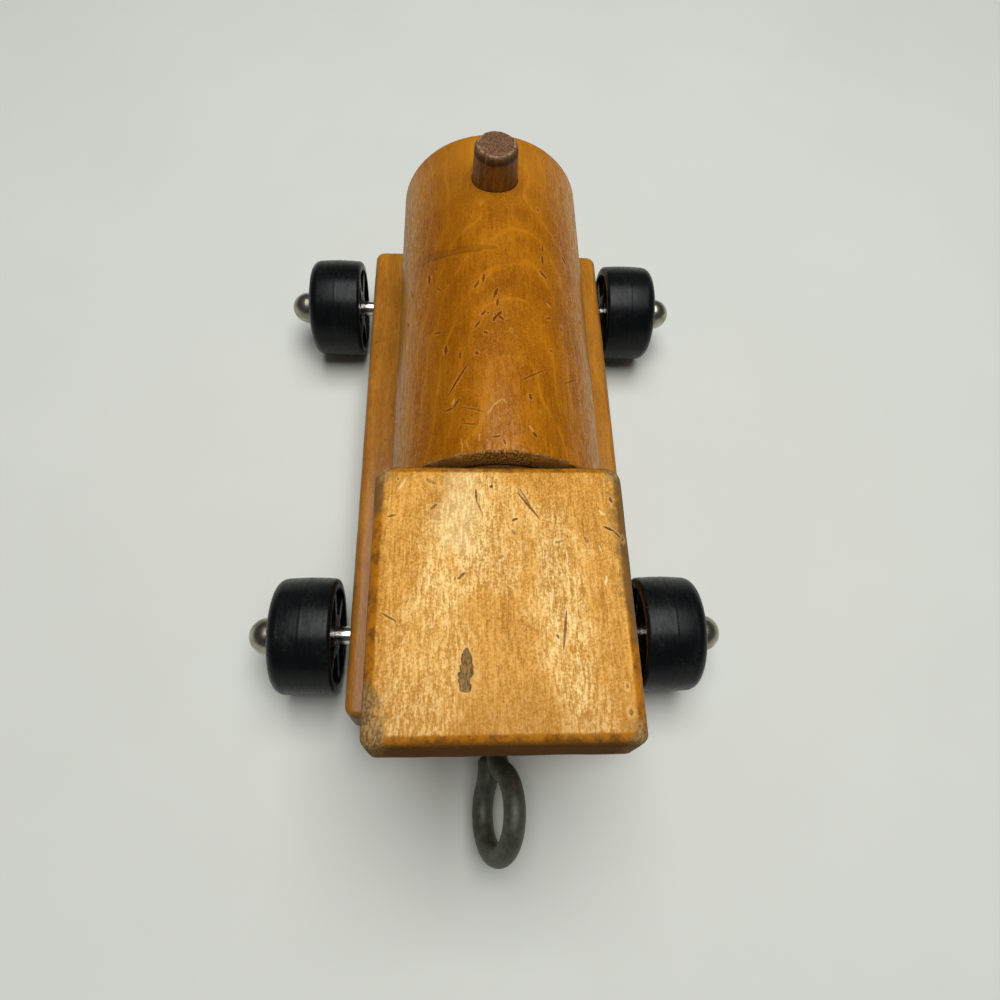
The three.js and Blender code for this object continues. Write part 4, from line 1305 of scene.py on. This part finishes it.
rib_length = (RIM_INSIDE - HUB_RADIUS) * MM + RIB_OVERLAP * MM
rib_height = (HOLLOW_DEPTH - RIB_FACE) * MM + RIB_ROOT * MM
for end, turn in (("rear", 0.0), ("front", FRONT_TURN)):
    for side_name, side in (("left", -1), ("right", 1)):
        node = f"wheel_{end}_{side_name}"
        low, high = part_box(node)
        middle = (low + high) / 2
        rubber = black_rubber(f"black_rubber_{end}_{side_name}", middle, turn + SIDE_SEED * side)
        wheel_shape = turned(bmesh.new(), wheel_profile(), WHEEL_SIDES)
        wheel = new_piece(f"{node}_moulding", wheel_shape)
        wheel.data = grow(
            wheel,
            MOULD_RIBS,
            Ribs=RIBS,
            Rib_Size=(rib_length, RIB_THICKNESS * MM, rib_height),
            Rib_Centre=((RIM_INSIDE + HUB_RADIUS) / 2 * MM, 0, RIB_FACE * MM + rib_height / 2),
            Finish=rubber,
        )
        inner_face = Vector((low.x if side > 0 else high.x, middle.y, middle.z))
        spun = Matrix.Rotation(math.radians(turn + SIDE_TURN * side), 4, "Z")
        wheel.data.transform(along(ACROSS * side, inner_face) @ spun)
        dress(wheel, rubber)
        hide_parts(node)
        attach(wheel, node)

# Axle caps
# Pressed caps of nickel-plated steel, pushed over the rod ends to keep the wheels on. Each is a dome on a
# short straight skirt with a thin rolled rim, open behind for the rod.

CAP_SIDES = 72
CAP_RADIUS = 6.5
CAP_HEIGHT = 9.1
CAP_RIM = 0.7
CAP_RIM_ROUND = 0.3
CAP_SKIRT = 2.6
CAP_STEP = 0.15
CAP_SEAM = 0.1
CAP_DRAFT = 0.02
CAP_SOCKET = 3.325
CAP_SOCKET_DEPTH = 6.2
CAP_SOCKET_CHAMFER = 0.2
CAP_DOME_STEPS = 18

cap_inside = CAP_RADIUS - CAP_STEP
cap_profile = [(0, CAP_SOCKET_DEPTH), (CAP_SOCKET, CAP_SOCKET_DEPTH)]
cap_profile += [(CAP_SOCKET, CAP_SOCKET_CHAMFER), (CAP_SOCKET + CAP_SOCKET_CHAMFER, 0)]
cap_profile += arc_points(CAP_RADIUS - CAP_RIM_ROUND, CAP_RIM_ROUND, CAP_RIM_ROUND, -90, 0, 5)
cap_profile += arc_points(cap_inside, CAP_RIM - CAP_STEP, CAP_STEP, 0, 90, 3)
cap_profile.append((cap_inside - CAP_DRAFT, CAP_RIM + CAP_SEAM))
cap_profile += arc_points(0, CAP_SKIRT, cap_inside, 0, 90, CAP_DOME_STEPS, CAP_HEIGHT - CAP_SKIRT)[:-1]
cap_profile.append((0, CAP_HEIGHT))
cap_shape = turned(bmesh.new(), in_metres(cap_profile), CAP_SIDES)
push_cap = new_piece("push_cap", cap_shape)


def push_on_caps():
    """A cap at each end of a rod that lies along X, its dome outwards."""
    tree, given = shape_tree("push_on_caps", Cap=("Object", None))
    one = lay(tree, "GeometryNodeObjectInfo", {"Object": given["Cap"]})["Geometry"]
    side = reckon("SIGN", parts_of(lay(tree, "GeometryNodeInputPosition")[0])[0])
    return complete(given, repeated(given["Geometry"], one, 0, side * (math.pi / 2)))


nickel, tree, shader = new_material("nickel", Metallic=1.0)
place = millimetres(tree)
tarnish = cloud(place, 0.25, 4.0, 0.6)
color = tint((0.45, 0.42, 0.345), (rise(tarnish, 0.35, 0.7), (0.23, 0.205, 0.15)))
hairs = cloud(place, (0.5, 3.0, 1.2), 3.0, 0.7)
finish_surface(shader, color, tarnish * 0.2 + 0.17, hairs, 0.008 * MM)
PUSH_ON_CAPS = push_on_caps()
for end in ("rear", "front"):
    cap_nodes = [f"axle_cap_{end}_{side_name}" for side_name in ("left", "right")]
    cap_points = bmesh.new()
    for node, side in zip(cap_nodes, (-1, 1)):
        middle, half = middle_of(node)
        cap_points.verts.new(middle - ACROSS * side * half.x)
    caps = new_piece(f"{end}_axle_caps", cap_points)
    caps.data = grow(caps, PUSH_ON_CAPS, Cap=push_cap, Finish=nickel)
    dress(caps, nickel)
    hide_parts(*cap_nodes)
    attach(caps, f"{end}_axle")
bpy.data.objects.remove(push_cap)

# Floor, light and camera
# The engine stands on a plain pale floor under one broad lamp panel overhead and an even grey sky, seen from
# above and behind.

FLOOR_SIZE = 8
FLOOR_SQUARES = 8
BACKGROUND = (0.8, 0.82, 0.79)
BLACK = (0, 0, 0)
LAMP_PLACE = (0.08, 0.12, 1.25)
LAMP_SIZE = (0.8, 1.06)
LAMP_POWER = 16
CAMERA_PLACE = (-0.01099, -0.12062, 0.26748)
CAMERA_TURN = (26.776, -3.104, -1.335)
CAMERA_LENS = 26.062
CAMERA_SENSOR = 36
CAMERA_NEAR = 0.01

floor_shape = bmesh.new()
bmesh.ops.create_grid(floor_shape, x_segments=FLOOR_SQUARES, y_segments=FLOOR_SQUARES, size=FLOOR_SIZE / 2)
floor = new_piece("floor", floor_shape)
pale_floor, tree, shader = new_material("pale_floor", Specular_IOR_Level=0.2, Emission_Strength=1.0)
place = millimetres(tree)
grey = cloud(place, 0.01, 3.0, 0.6)
ray = lay(tree, "ShaderNodeLightPath")
seen = most(ray["Is Camera Ray"], ray["Is Glossy Ray"], ray["Is Transmission Ray"])
far_off = seen * rise(measure("LENGTH", place), 500.0, 2000.0)
color = tint((0.68, 0.7, 0.645), (grey, (0.74, 0.76, 0.705)), (far_off, BLACK))
glow = tint(BLACK, (far_off, BACKGROUND))
finish_surface(shader, color, grey * 0.1 + 0.75, cloud(place, 1.2), 0.02 * MM, Emission_Color=glow)
dress(floor, pale_floor)

lamp = bpy.data.lights.new("soft_lamp", "AREA")
lamp.shape = "RECTANGLE"
lamp.size, lamp.size_y = LAMP_SIZE
lamp.energy = LAMP_POWER
show("soft_lamp", lamp).location = LAMP_PLACE

sky = bpy.data.worlds.new("soft_sky")
sky.use_nodes = True
tree = sky.node_tree
ahead, up = parts_of(lay(tree, "ShaderNodeTexCoord")["Generated"])[1:]
ray = lay(tree, "ShaderNodeLightPath")
mirrored = ray["Is Glossy Ray"] * rise(up, 0.2, -0.2)
light = tint(
    (0.07, 0.071, 0.07),
    (rise(up, 0.3, 0.0) * rise(ahead, -0.9, -0.1), (0.22, 0.22, 0.21)),
    (most(ray["Is Camera Ray"], ray["Is Transmission Ray"], mirrored), BACKGROUND),
)
tree.links.new(light.socket, tree.nodes["Background"].inputs["Color"])
bpy.context.scene.world = sky

camera = bpy.data.cameras.new("camera")
camera.lens = CAMERA_LENS
camera.sensor_width = CAMERA_SENSOR
camera.clip_start = CAMERA_NEAR
camera_stand = show("camera", camera)
camera_stand.location = CAMERA_PLACE
camera_stand.rotation_euler = [math.radians(angle) for angle in CAMERA_TURN]
bpy.context.scene.camera = camera_stand
bpy.context.scene.view_settings.view_transform = "Standard"
